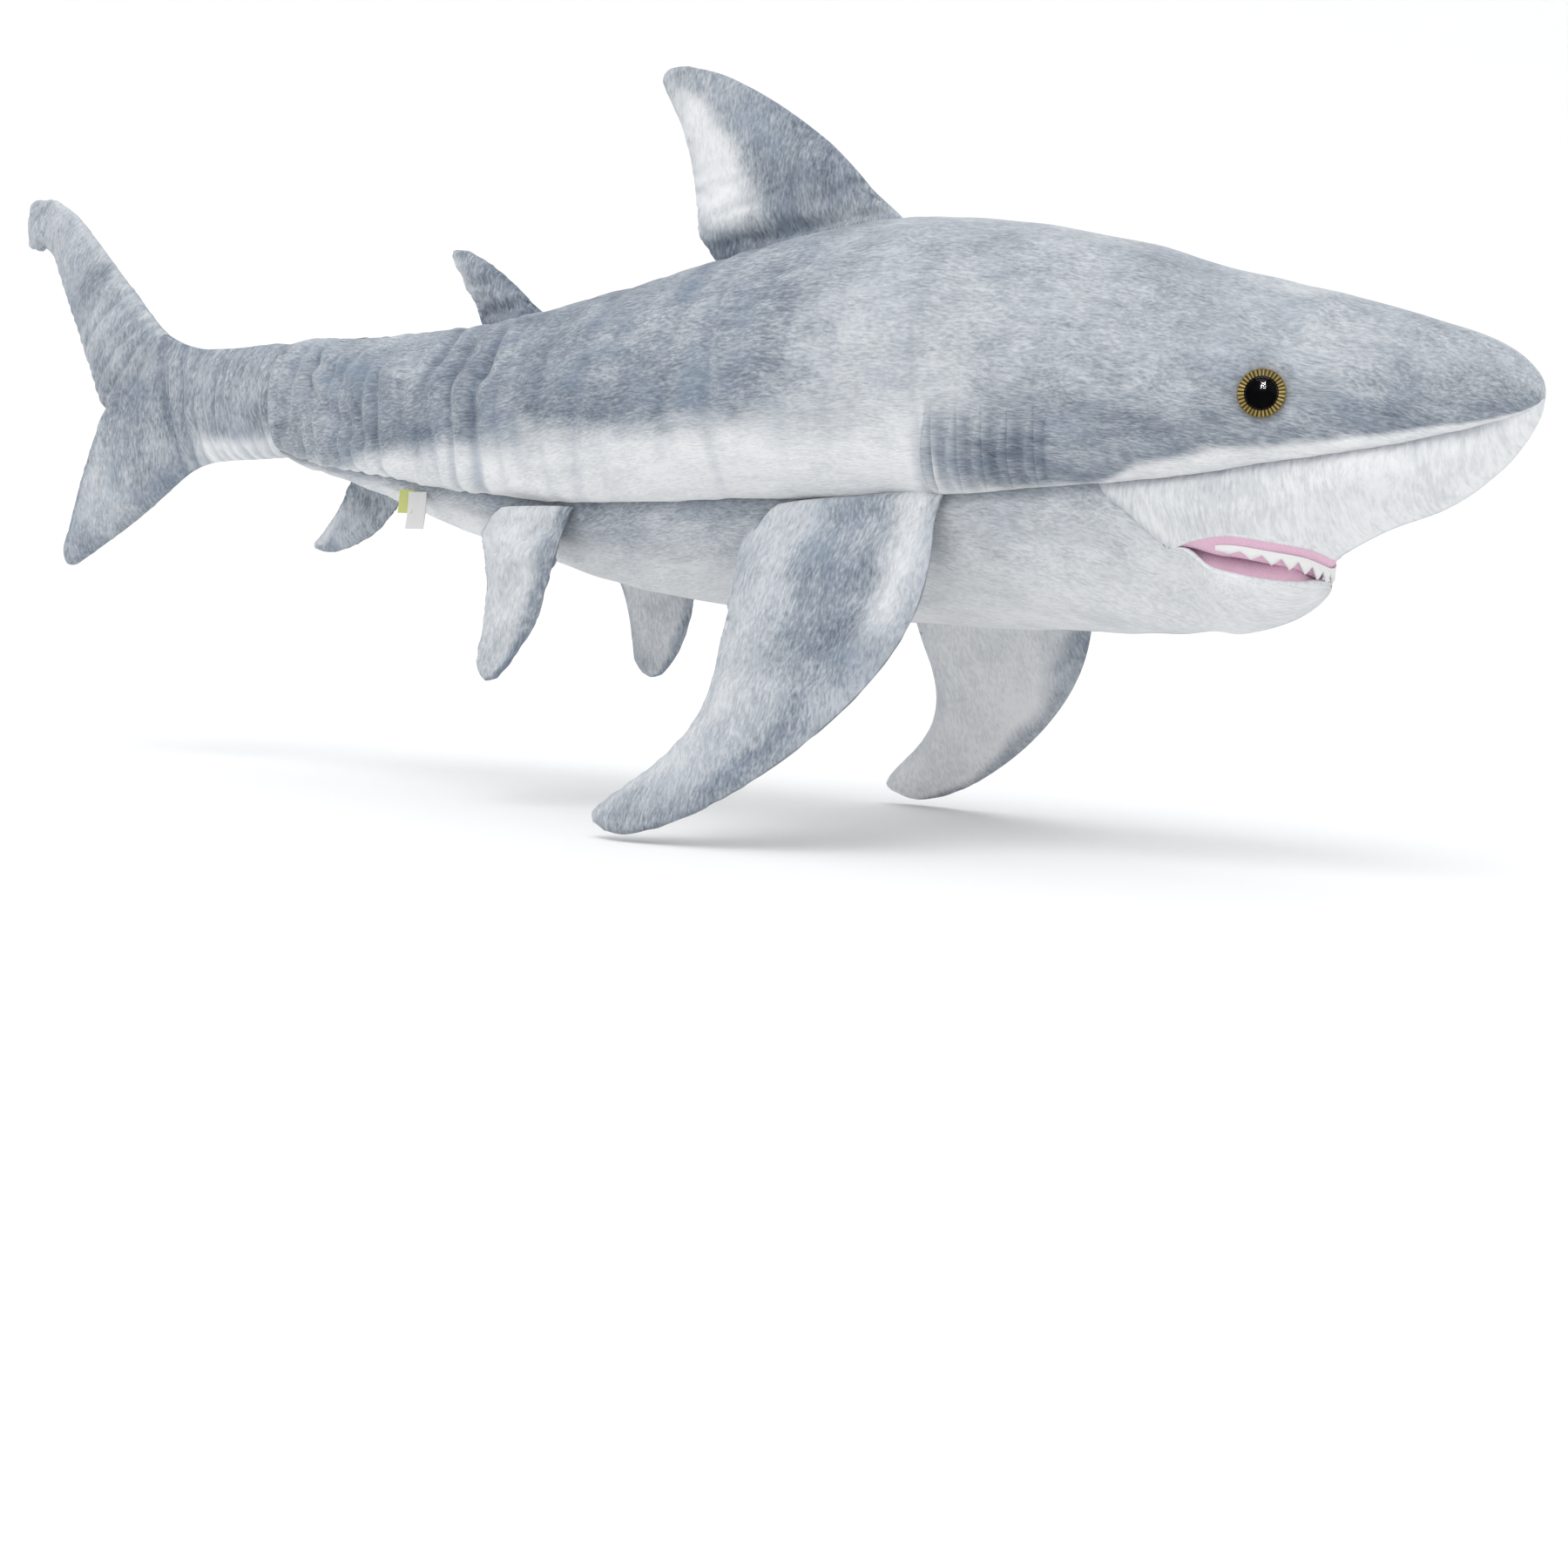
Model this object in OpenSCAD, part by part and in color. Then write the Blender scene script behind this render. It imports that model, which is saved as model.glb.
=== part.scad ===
// Plush shark. Millimetres, +X to the nose, +Y to the shark's left, +Z up.
// Shapes are laid out in a drawing frame whose height zero is the nose tip, then stood on the floor.

/* [Overall] */
// x of the nose tip
nose_x = 500; // [450:550]
// x of the stitched seam that starts the tail
tail_seam_x = -269; // [-300:-240]
// height of the nose tip above the floor
nose_height = 226.2; // [200:260]
// x of the middle of the overall length
mid_x = -34.3; // [-60:20]

/* [Cloth] */
// thickness of a body panel, backing and pile
fabric_t = 3; // [2:0.5:5]
// thickness of a fin panel
fin_t = 2.5; // [1.5:0.5:4]
// thickness of the woven mouth lining
lining_t = 1.5; // [1:0.5:3]
// gap at each sewn edge and over the filling
gap = 0.3; // [0.2:0.1:1]
// gap over the filling of the head and trunk
fill_gap = 1.2; // [0.6:0.2:3]
// half thickness of the two cloths along a fin's edge
edge_t = 1.4; // [1:0.2:2.4]

/* [Body] */
// columns: x, top, widest half width, its height, seam half width, seam height, underside, fullness below the seam
body_table = [
    [500, 2.5, 2.5, 0, 2, -3, -5, 2],
    [496, 11, 9, -1, 7, -8, -17, 2],
    [485, 21, 17, -1, 13, -13, -32, 2],
    [460, 35, 28, -1, 23, -20, -51, 1.9],
    [430, 46, 40, -1, 34, -27, -63, 1.8],
    [405, 53, 48, -1, 41, -32, -78, 1.7],
    [385, 58, 53, -1, 46, -35, -97, 1.6],
    [365, 63, 58, -2, 50, -39, -107, 1.5],
    [342, 69, 63, -2, 54, -42, -113, 1.5],
    [310, 79, 70, -3, 59, -46, -114, 1.8],
    [250, 91, 79, -4, 64, -52, -114, 2.2],
    [170, 97, 85, -5, 66, -55, -114, 2.4],
    [80, 84, 82, -7, 64, -58, -113, 2.4],
    [0, 67, 72, -8, 59, -61, -103, 2.4],
    [-80, 53, 58, -7, 47, -57, -82, 2.4],
    [-160, 46, 45, -4, 33, -48, -61, 2.3],
    [-220, 44, 34, -1, 24, -38, -46, 2.2],
    [-269, 41, 26, 2, 16, -28, -33, 2.1]]; // rows run from the nose to the tail seam
// roundness of the upper section, 2 is an ellipse
crown = 2.15; // [1.8:0.05:2.6]
// length of the rounded end at the tail seam
seam_round = 12; // [6:16]

/* [Mouth] */
// x of the mouth corners
mouth_x = 342; // [320:360]
// x of the upper lip's middle
lip_x = 405; // [395:415]
// half width between the mouth corners
lip_half = 38; // [32:44]
// squareness of the lip's curve
lip_pow = 2.4; // [2:0.1:3]
// height of the palate's arch
palate_arch = 13; // [6:18]
// columns: x, lip half width, lip height, underside
jaw_table = [
    [342, 37.6, -78.6, -113],
    [360, 37, -84.8, -113],
    [375, 34, -88, -110.5],
    [388, 28, -90, -106],
    [398, 18, -90, -100],
    [404, 8, -89.5, -94.5]]; // rows run forward from the mouth corners
// clearance behind the jaw at the mouth corners
jaw_wedge = 5.5; // [3:0.5:8]
// fullness of the lining over the jaw
jaw_bulge = 8; // [4:10]
// teeth around the whole upper lip
tooth_count = 14; // [8:20]
// height of the felt strip at the roots of the teeth
felt_band = 6.2; // [3:8]
// height of the strip at the tips of the front teeth
tooth_len = 10.4; // [8:12]
// thickness of the felt strip
felt_t = 1.4; // [1:0.2:2]

/* [Gills] */
// tucks on each side
gill_count = 5; // [3:7]
// x of the hindmost tuck
gill_x = 231; // [215:245]
// spacing of the tucks
gill_pitch = 13; // [8:16]
// how far a tuck stands out
gill_out = 1.4; // [0.8:0.2:2.5]

/* [Eyes] */
// diameter of the safety eye's rim
eye_d = 22; // [16:28]
// width of the pupil
pupil_d = 14; // [10:16]
// eye centre
eye_pos = [388, 50.6, -3]; // on the right and left side alike
// turn of the eye towards the nose
eye_turn = 15.6; // [0:30]
// height of the clear dome
dome_h = 4.6; // [3:0.2:7]
// diameter of the stem behind the eye
stem_d = 5; // [4:0.5:7]

/* [Tail pose] */
// bend of the tail to the right, growing behind the seam
tail_yaw = 10.5; // [0:20]
// lean of the upper lobe to the left
lobe_lean = 22; // [0:45]
// fold of the lobe's end to the left
tip_fold = 15; // [0:45]
// where the lobe's fold starts, as x and height
fold_top = [-372, 48]; // on the upper edge
// where the lobe's fold ends
fold_notch = [-417, -3]; // at the fork
// x of the stitched crease near the lobe's end
crease_x = -525; // [-540:-510]

/* [Paired fins] */
// front of the pectoral root
pec_root = [235, 68.5, -54.5]; // left fin
// rear of the pectoral root
pec_rear = [132, 66, -58.5]; // left fin
// pectoral's slope out from straight down
pec_out = 27; // [10:45]
// front of the pelvic root
pel_root = [1, 61.7, -63.5]; // left fin
// rear of the pelvic root
pel_rear = [-60, 52.7, -61.5]; // left fin
// pelvic's slope out from straight down
pel_out = 12; // [0:30]

/* [Fin outlines] */
// each row: leading point, trailing point, half thickness; root to tip
dorsal_rows = [
    [160, 99.8, 44, 80.5, 3.2], [150, 110, 35, 88, 6], [137, 123, 33, 99, 8], [121, 137, 32, 112, 9],
    [103, 149.5, 29, 126, 8.5], [84, 161, 25, 140, 7.5], [65, 171, 19, 154, 6.5], [45, 179.5, 12, 166, 5.4],
    [27, 184, 7, 175, 4.2], [16, 185.5, 6, 180, 3]]; // x and height
// second dorsal
second_rows = [
    [-76, 57.5, -120, 52.5, 3], [-86, 67, -124, 60, 5.5], [-99, 76, -131, 69, 6], [-114, 85, -138, 79, 5.5],
    [-130, 92, -144, 88, 3.6], [-138, 94, -146, 91.5, 2.6]]; // x and height
// anal
anal_rows = [
    [-178, -60, -222, -49.5, 3], [-186, -69, -227, -58, 5.5], [-197, -78, -233, -66, 6], [-211, -85, -240, -74, 5.5],
    [-228, -90, -248, -82, 3.6], [-240, -92, -254, -87, 2.6]]; // x and height
// pectoral
pec_rows = [
    [1, 2.8, 102, 4, 3.2], [-4, 24, 114, 16, 7], [-6, 48, 114, 34, 9.5], [-3, 70, 110, 56, 10.5],
    [6, 92, 106, 78, 10.5], [19, 112, 103, 98, 10], [35, 130, 105, 116, 9], [54, 147, 112, 132, 8],
    [75, 162, 124, 146, 7], [98, 175, 139, 158, 5.6], [120, 183, 151, 168, 4.4], [140, 186, 158, 177, 3]]; // along the root and down the fin
// pelvic
pel_rows = [
    [1, 2.8, 60, 3.5, 3], [2, 16, 70, 12, 5.4], [3, 32, 64, 26, 6.8], [6, 50, 57, 42, 6.6],
    [11, 68, 53, 58, 5.6], [19, 84, 51, 74, 4.4], [29, 96, 50, 87, 3.4], [36, 101, 48, 95, 2.6]]; // along the root and down the fin
// tail behind its seam, with the lower lobe
tail_rows = [
    [-270.5, 22, -270.5, -14, 10], [-272, 32, -272, -23, 17], [-275, 38, -275, -29, 22], [-282, 40.5, -282, -32, 24.5],
    [-300, 38.5, -300, -33, 22.5], [-322, 36, -320, -33, 19], [-342, 35.5, -337, -34, 16], [-358, 40, -350, -40, 13.5],
    [-372, 47, -362, -50, 12], [-394, 23, -376, -62, 11], [-415, 0, -390, -72, 9.5], [-426, -22, -404, -82, 8],
    [-434, -46, -417, -91, 6.5], [-441, -70, -429, -99, 5], [-447, -90, -439, -105, 3.6], [-449, -99, -444, -106, 2.6]]; // x and height
// upper lobe
lobe_rows = [
    [-375, 50.5, -420, -0.5, 4], [-387, 60, -428, 10, 8.5], [-406, 74, -440, 26, 10], [-427, 90, -455, 44, 9.5],
    [-448, 106, -470, 62, 8.5], [-468, 121, -485, 80, 7.5], [-487, 135, -499, 97, 6.5], [-505, 146, -512, 112, 5.2],
    [-519, 152.5, -522, 121, 3]]; // x and height
// end of the upper lobe
tip_rows = [
    [-529, 155.5, -531, 122, 3], [-537, 158, -540, 119, 5.8], [-547, 160, -550, 121, 6.4], [-557, 161.5, -560, 131, 5.8],
    [-566, 162, -567, 142, 4], [-572, 161, -573, 152, 2.6]]; // x and height

/* [Labels] */
// x of the care label's middle
label_x = -128; // [-150:-100]
// care label width and drop
label_size = [14, 20]; // along the seam, down
// size tab beside it
tab_size = [11, 12]; // along the seam, down
// thickness of the label cloth
label_t = 0.6; // [0.4:0.1:1]

/* [Hidden] */

grey = [0.29, 0.34, 0.39];
pale = [0.86, 0.86, 0.84];
pink = [0.85, 0.45, 0.5];
fibre = [0.95, 0.95, 0.93];
round_fn = 48;

// ---- curves through table rows ----
body_len = nose_x - tail_seam_x;
function key(x) = sqrt(max(0, nose_x - x) / body_len);
body_keys = [for (r = body_table) key(r[0])];
jaw_keys = [for (r = jaw_table) r[0]];
function seg(k, s, i = 0) = i >= len(k) - 2 || s <= k[i + 1] ? i : seg(k, s, i + 1);
function slope(t, k, i, c) = let (a = max(0, i - 1), b = min(len(k) - 1, i + 1)) (t[b][c] - t[a][c]) / (k[b] - k[a]);
function at(t, k, s, c) = let (i = seg(k, s), h = k[i + 1] - k[i], u = (s - k[i]) / h, u2 = u * u, u3 = u2 * u)
    (2 * u3 - 3 * u2 + 1) * t[i][c] + (u3 - 2 * u2 + u) * h * slope(t, k, i, c)
    + (3 * u2 - 2 * u3) * t[i + 1][c] + (u3 - u2) * h * slope(t, k, i + 1, c);
function station(x) = [for (c = [1:7]) at(body_table, body_keys, key(x), c)];
function end_round(x) = let (d = max(0, tail_seam_x + seam_round - x) / seam_round) sqrt(1 - 0.8 * d * d);

// ---- body sections: q is a station, positions are [y, z] ----
function above(q, a) = a <= 1
    ? [q[1] * pow(sin(90 * a), 2 / crown), q[2] + (q[0] - q[2]) * pow(cos(90 * a), 2 / crown)]
    : [q[1] + (q[3] - q[1]) * (1 - cos(90 * (a - 1))), q[2] + (q[4] - q[2]) * sin(90 * (a - 1))];
function below(q, t) = [q[3] * pow(cos(90 * t), 2 / q[6]), q[4] + (q[5] - q[4]) * pow(sin(90 * t), 2 / q[6])];
function heart(q) = [0, (q[0] + q[5]) / 2];
function sunk(p, c, d) = let (r = norm(p - c)) p - (p - c) * min(d, 0.6 * r) / r;
// surface point on the left side: a runs 0 (back) to 2 (seam) to 3 (belly line), d is the depth under the surface
function body_pt(x, a, d) = let (q = station(x), c = heart(q), k = end_round(x), p = sunk(a <= 2 ? above(q, a) : below(q, a - 2), c, d))
    [x, c[0] + (p[0] - c[0]) * k, c[1] + (p[1] - c[1]) * k];
function flip(p) = [p[0], -p[1], p[2]];

// ---- upper lip ----
mouth_len = lip_x - mouth_x;
function lip_at_y(y) = mouth_x + mouth_len * pow(1 - pow(abs(y) / lip_half, 2), 1 / lip_pow);
function lip_y(x) = lip_half * sqrt(1 - pow(min(1, (x - mouth_x) / mouth_len), lip_pow));
// angle share from the seam to the lip
function lip_t(x, y) = let (q = station(x)) acos(min(1, pow(abs(y) / q[3], q[6] / 2))) / 90;
function lip_pt(y) = let (x = lip_at_y(y), p = body_pt(x, 2 + lip_t(x, y), 0)) [p[0], y, p[2]];

// ---- solids from grids of points ----
function mean(r) = [for (j = [0:len(r) - 1]) 1 / len(r)] * r;
function flat(g) = [for (r = g) for (p = r) p];
function turned(faces, wrong) = wrong ? [for (f = faces) [f[2], f[1], f[0]]] : faces;
// closed sheet between two grids, using only the cells that the mask holds
module sheet(outer, inner, mask = undef) {
    ni = len(outer);
    nj = len(outer[0]);
    n = ni * nj;
    function on(i, j) = i >= 0 && j >= 0 && i < ni - 1 && j < nj - 1 && (is_undef(mask) || mask[i][j]);
    function v(i, j, k) = k * n + i * nj + j;
    cells = [for (i = [0:ni - 2]) for (j = [0:nj - 2]) if (on(i, j)) [i, j]];
    faces = [for (c = cells) let (i = c[0], j = c[1]) each concat(
        [[v(i, j, 0), v(i + 1, j, 0), v(i + 1, j + 1, 0)], [v(i, j, 0), v(i + 1, j + 1, 0), v(i, j + 1, 0)]],
        [[v(i, j, 1), v(i + 1, j + 1, 1), v(i + 1, j, 1)], [v(i, j, 1), v(i, j + 1, 1), v(i + 1, j + 1, 1)]],
        on(i - 1, j) ? [] : [[v(i, j, 0), v(i, j + 1, 0), v(i, j + 1, 1)], [v(i, j, 0), v(i, j + 1, 1), v(i, j, 1)]],
        on(i + 1, j) ? [] : [[v(i + 1, j, 0), v(i + 1, j + 1, 1), v(i + 1, j + 1, 0)], [v(i + 1, j, 0), v(i + 1, j, 1), v(i + 1, j + 1, 1)]],
        on(i, j - 1) ? [] : [[v(i, j, 0), v(i + 1, j, 1), v(i + 1, j, 0)], [v(i, j, 0), v(i, j, 1), v(i + 1, j, 1)]],
        on(i, j + 1) ? [] : [[v(i, j + 1, 0), v(i + 1, j + 1, 0), v(i + 1, j + 1, 1)], [v(i, j + 1, 0), v(i + 1, j + 1, 1), v(i, j + 1, 1)]])];
    // winding follows the direction from the inner grid to the outer one
    m = cells[floor(len(cells) / 2)];
    c0 = outer[m[0]][m[1]];
    wrong = cross(outer[m[0] + 1][m[1]] - c0, outer[m[0] + 1][m[1] + 1] - c0) * (c0 - inner[m[0]][m[1]]) > 0;
    used = [for (k = [0, 1]) for (i = [0:ni - 1]) for (j = [0:nj - 1]) on(i, j) || on(i - 1, j) || on(i, j - 1) || on(i - 1, j - 1)];
    all_pts = concat(flat(outer), flat(inner));
    // unused grid points are moved onto a used one
    anchor = all_pts[v(cells[0][0], cells[0][1], 0)];
    polyhedron(points = [for (k = [0:2 * n - 1]) used[k] ? all_pts[k] : anchor], faces = turned(faces, wrong), convexity = 6);
}
// closed skin over rings of points, flat at both ends
module loft(rings) {
    n = len(rings[0]);
    m = len(rings);
    r = rings[floor(m / 2)];
    s = rings[floor(m / 2) + 1];
    wrong = cross(r[1] - r[0], s[1] - r[0]) * (r[0] - mean(r)) > 0;
    polyhedron(points = flat(rings), convexity = 6, faces = turned(concat(
        [for (i = [0:m - 2]) for (j = [0:n - 1]) let (a = i * n + j, b = i * n + (j + 1) % n)
            each [[a, b, b + n], [a, b + n, a + n]]],
        [for (j = [1:n - 2]) [0, j + 1, j]],
        [for (j = [1:n - 2]) [(m - 1) * n, (m - 1) * n + j, (m - 1) * n + j + 1]]), wrong));
}
module stand() translate([-mid_x, 0, nose_height]) children();

// ---- body panels ----
head_rows = 12;
trunk_rows = 17;
head_x = [for (i = [0:head_rows]) nose_x - (nose_x - mouth_x) * pow(i / head_rows, 2)];
trunk_x = [for (i = [1:trunk_rows]) mouth_x + (tail_seam_x + seam_round - mouth_x) * i / trunk_rows];
end_x = [for (f = [0.4, 0.75, 0.95]) tail_seam_x + seam_round * (1 - f)];
side_cols = 10;
belly_cols = 6;
belly_front = mouth_x - 2;

module side_panel() {
    rows = concat(head_x, trunk_x, end_x);
    function grid(d) = [for (x = rows) [for (j = [0:side_cols])
        let (p = body_pt(x, j == side_cols ? 1.995 : 2 * j / side_cols, d)) [p[0], max(p[1], gap / 2), p[2]]]];
    color(grey) stand() sheet(grid(0), grid(fabric_t));
}
module eye_seats() eye_frame() {
    translate([0, 0, -0.2]) cylinder(d = eye_d + 1, h = 12, $fn = round_fn);
    translate([0, 0, -20]) cylinder(d = stem_d + 0.6, h = 22, $fn = round_fn);
}
module left_side_panel() color(grey) difference() { side_panel(); eye_seats(); }
module right_side_panel() color(grey) difference() { mirror([0, 1, 0]) side_panel(); mirror([0, 1, 0]) eye_seats(); }

module belly_panel() {
    rows = concat([belly_front], trunk_x, end_x);
    function grid(d) = [for (x = rows) [for (j = [-belly_cols:belly_cols])
        let (a = 3 - min(0.995, abs(j) / belly_cols), p = body_pt(x, a, d)) j < 0 ? flip(p) : p]];
    color(pale) stand() sheet(grid(0), grid(fabric_t));
}

// snout underside: rows from the nose back to the lip, then a flap down each side of the mouth
snout_half = 6;
lip_cols = 3;
flap_rows = 5;
front_rows = 9;
corner_y = 25;
module snout_panel() {
    flap_x0 = lip_at_y(corner_y);
    t0 = lip_t(flap_x0, corner_y);
    // the lip row: [x, angle share] for each column
    function lip_cell(j) = let (m = abs(j)) m <= lip_cols
        ? let (y = corner_y * m / lip_cols) [lip_at_y(y), m == 0 ? 1 : lip_t(lip_at_y(y), y)]
        : [flap_x0, t0 * (snout_half - m) / (snout_half - lip_cols)];
    function cell(i, j) = let (m = abs(j)) i <= front_rows
        ? let (f = i / front_rows, c = lip_cell(j), g = 1 - m / snout_half)
            [nose_x - (nose_x - c[0]) * f * f, g + (c[1] - g) * f]
        : let (x = flap_x0 + (mouth_x - flap_x0) * (i - front_rows) / flap_rows, t = lip_t(x, lip_y(x)))
            [x, m <= lip_cols ? t : t * (snout_half - m) / (snout_half - lip_cols)];
    function grid(d) = [for (i = [0:front_rows + flap_rows]) [for (j = [-snout_half:snout_half])
        let (c = cell(i, j), p = body_pt(c[0], 2 + max(0.005, c[1]), d)) j < 0 ? flip(p) : p]];
    mask = [for (i = [0:front_rows + flap_rows - 1]) [for (j = [-snout_half:snout_half - 1])
        i < front_rows || j < -lip_cols || j >= lip_cols]];
    color(pale) stand() sheet(grid(0), grid(fabric_t), mask);
}

// ---- mouth ----
function inset_y(x, d) = let (k = 1 - d / lip_half) k * lip_y(min(lip_x, mouth_x + (x - mouth_x) / k));
palate_inset = 6;
palate_front = mouth_x + mouth_len * (1 - palate_inset / lip_half) - 2;
palate_x = [for (i = [0:6]) palate_front - (palate_front - mouth_x - 1.6) * i / 6];
function palate_z(x, f) = let (s = (x - mouth_x) / mouth_len)
    lip_pt(min(lip_half * 0.98, inset_y(x, palate_inset)))[2] + 2 + palate_arch * (1 - f * f) * sqrt(max(0, 1 - s * s));
wall_bottom = -104;
module palate_lining() {
    n = 5;
    back = palate_x[6];
    function roof(d) = [for (i = [0:6]) [for (j = [-n:n]) let (x = palate_x[i], f = j / n)
        [x - (i == 6 ? d : 0), f * inset_y(x, palate_inset), palate_z(x, f) + d]]];
    function wall(d) = [for (w = [0.35, 0.7, 1]) [for (j = [-n:n]) let (f = j / n, z = palate_z(back, f))
        [back - d, f * inset_y(back, palate_inset) * (1 - 0.25 * w), z + (wall_bottom + 18 * f * f - z) * w]]];
    color(pink) stand() sheet(concat(roof(lining_t), wall(lining_t)), concat(roof(0), wall(0)));
}

module teeth_strip() {
    n = 2 * tooth_count;
    // half of the turns are roots, half are tips, shorter towards the corners
    function drop(i) = felt_band + (i % 2 == 0 ? 0 : (tooth_len - felt_band) * sqrt(sin(180 * i / n)));
    function edge(i, d) = let (s = sin(180 * (i / n - 0.5)) * 0.93, y = (lip_half - d) * s,
        k = 1 - d / lip_half, p = lip_pt(lip_half * s)) [mouth_x + (p[0] - mouth_x) * k, y, p[2]];
    function grid(d) = [for (r = [0, 1]) [for (i = [0:n]) let (p = edge(i, d)) [p[0], p[1], p[2] + 0.8 - (r == 0 ? 0 : drop(i))]]];
    color([0.97, 0.97, 0.95]) stand() sheet(grid(3.6 + felt_t), grid(3.6));
}

function jaw_at(x, c) = at(jaw_table, jaw_keys, x, c);
function jaw_pt(x, t, d) = let (s = (x - mouth_x) / (lip_x - 1 - mouth_x), m = 1.6 + 0.3 * s,
    y = jaw_at(x, 1), z = jaw_at(x, 2), b = jaw_at(x, 3), a = 90 * abs(t),
    p = sunk([y * pow(sin(a), 2 / m), z + (b - z) * pow(cos(a), 2 / m)], [0, z + 6], d))
    [x, p[0] * sign(t), p[1]];
// the back of the jaw leans away from the throat towards the mouth corners
function wedge(p, d = 0) = [max(p[0], mouth_x + 1.2 + d + max(0, p[2] + 111) * jaw_wedge / 35), p[1], p[2]];
jaw_x = [mouth_x + 1, 352, 361, 370, 379, 387, 393, 398, 401.5, 404];
module jaw_panel() {
    n = 6;
    function grid(d) = [for (x = jaw_x) [for (j = [-n:n]) wedge(jaw_pt(x, j / n, d))]];
    color(pale) stand() sheet(grid(0), grid(fabric_t));
}
function floor_y(x) = jaw_at(x, 1) - fabric_t - 1.6;
function floor_z(x, f) = jaw_at(x, 2) - 2 + jaw_bulge * (1 - f * f) * max(0, 1 - pow((x - mouth_x) / (mouth_len - 3), 2));
lining_x = [mouth_x + 8, 358, 367, 376, 384, 391, 396, 399];
module jaw_lining() {
    n = 5;
    function grid(d) = [for (x = lining_x) [for (j = [-n:n]) wedge([x, floor_y(x) * j / n, floor_z(x, j / n) - d])]];
    color(pink) stand() sheet(grid(lining_t), grid(0));
}
module jaw_stuffing() {
    n = 5;
    rows = [mouth_x + 9, 361, 370, 379, 386, 391];
    function ring(x) = concat(
        [for (j = [-n:n]) wedge([x, (floor_y(x) - 3) * j / n, floor_z(x, j / n) - lining_t - gap], 0.6)],
        [for (j = [n - 1:-1:-n + 1]) let (w = (floor_y(x) - 3) * j / n, t = j / n,
            p = jaw_pt(x, 0.86 * t, fabric_t + gap)) wedge([x, p[1], min(p[2], floor_z(x, t) - lining_t - gap - 0.8)], 0.6)]);
    color(fibre) stand() loft([for (x = rows) ring(x)]);
}

// ---- filling of head and trunk ----
fill_depth = fabric_t + fill_gap;
fill_floor = -57;
module body_filling() {
    // the share of the way round: back to seam, then seam to belly line
    ways = concat([for (j = [0:side_cols]) 2 * j / side_cols], [for (j = [1:belly_cols]) 2 + j / belly_cols]);
    function half(x, low) = [for (a = ways) let (p = body_pt(x, a, fill_depth)) [p[0], p[1], max(p[2], low)]];
    function ring(x, low) = let (h = half(x, low), m = len(h)) concat(h, [for (j = [m - 2:-1:1]) flip(h[j])]);
    head = [for (x = [495, 484, 468, 450, 430, 413]) ring(x, -200)];
    mouth = [for (x = [403, 388, 372, 356, belly_front + 0.4]) ring(x, fill_floor)];
    trunk = [for (x = concat([belly_front], trunk_x, [tail_seam_x + 4])) ring(x, -200)];
    loft(concat(head, mouth, trunk));
}
module body_stuffing() color(fibre) difference() {
    stand() body_filling();
    for (s = [0, 1]) mirror([0, s, 0]) eye_frame() {
        translate([0, 0, -20]) cylinder(d = stem_d + 0.6, h = 24, $fn = round_fn);
        translate([0, 0, -5]) cylinder(d = eye_d + 1, h = 12, $fn = round_fn);
    }
}

// ---- gill tucks, low ridges that follow the side panel ----
gill_half = 1.6;
gill_lift = 0.9;
module gills() {
    rows = 6;
    function ridge(x, a, y) = body_pt(x, a, 0) + [0, y, 0];
    for (g = [0:gill_count - 1]) {
        x = gill_x + gill_pitch * g;
        loft([for (i = [0:rows]) let (a = 1.14 + 0.7 * i / rows, e = gill_out * (i == 0 || i == rows ? 0.4 : 1))
            [ridge(x - gill_half, a, gill_lift), ridge(x, a, gill_lift + e), ridge(x + gill_half, a, gill_lift)]]);
    }
}
module left_gill_pleats() color(pale) stand() gills();
module right_gill_pleats() color(pale) mirror([0, 1, 0]) stand() gills();

// ---- safety eye, drawn along its own axis ----
module eye_frame() stand() translate(eye_pos) rotate([0, 0, -eye_turn]) rotate([-90, 0, 0]) children();
module disc(d, z0, z1, hole = 0) rotate_extrude($fn = round_fn) translate([hole / 2, z0]) square([(d - hole) / 2, z1 - z0]);
module eye_back() { cylinder(d = eye_d, h = 1.6, $fn = round_fn); translate([0, 0, -17]) cylinder(d = stem_d, h = 17.5, $fn = round_fn); }
module eye_lens() {
    r = eye_d / 2;
    R = (r * r + dome_h * dome_h) / (2 * dome_h);
    translate([0, 0, 2.7]) intersection() {
        translate([0, 0, dome_h - R]) sphere(r = R, $fn = 64);
        cylinder(r = r, h = dome_h + 1, $fn = round_fn);
    }
}
module left_eye_back() color([0.1, 0.1, 0.1]) eye_frame() eye_back();
module left_eye_iris() color([0.75, 0.55, 0.15]) eye_frame() disc(eye_d - 0.8, 1.7, 2.3, pupil_d + 0.4);
module left_eye_pupil() color([0.02, 0.02, 0.02]) eye_frame() translate([0, 0, 1.7]) cylinder(d = pupil_d, h = 0.8, $fn = round_fn);
module left_eye_lens() color([0.9, 0.9, 0.9, 0.35]) eye_frame() eye_lens();
module left_eye_washer() color([0.8, 0.8, 0.8]) eye_frame() disc(eye_d - 3, -4.4, -3.2, stem_d + 0.3);
module right_eye_back() mirror([0, 1, 0]) left_eye_back();
module right_eye_iris() mirror([0, 1, 0]) left_eye_iris();
module right_eye_pupil() mirror([0, 1, 0]) left_eye_pupil();
module right_eye_lens() mirror([0, 1, 0]) left_eye_lens();
module right_eye_washer() mirror([0, 1, 0]) left_eye_washer();

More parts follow.
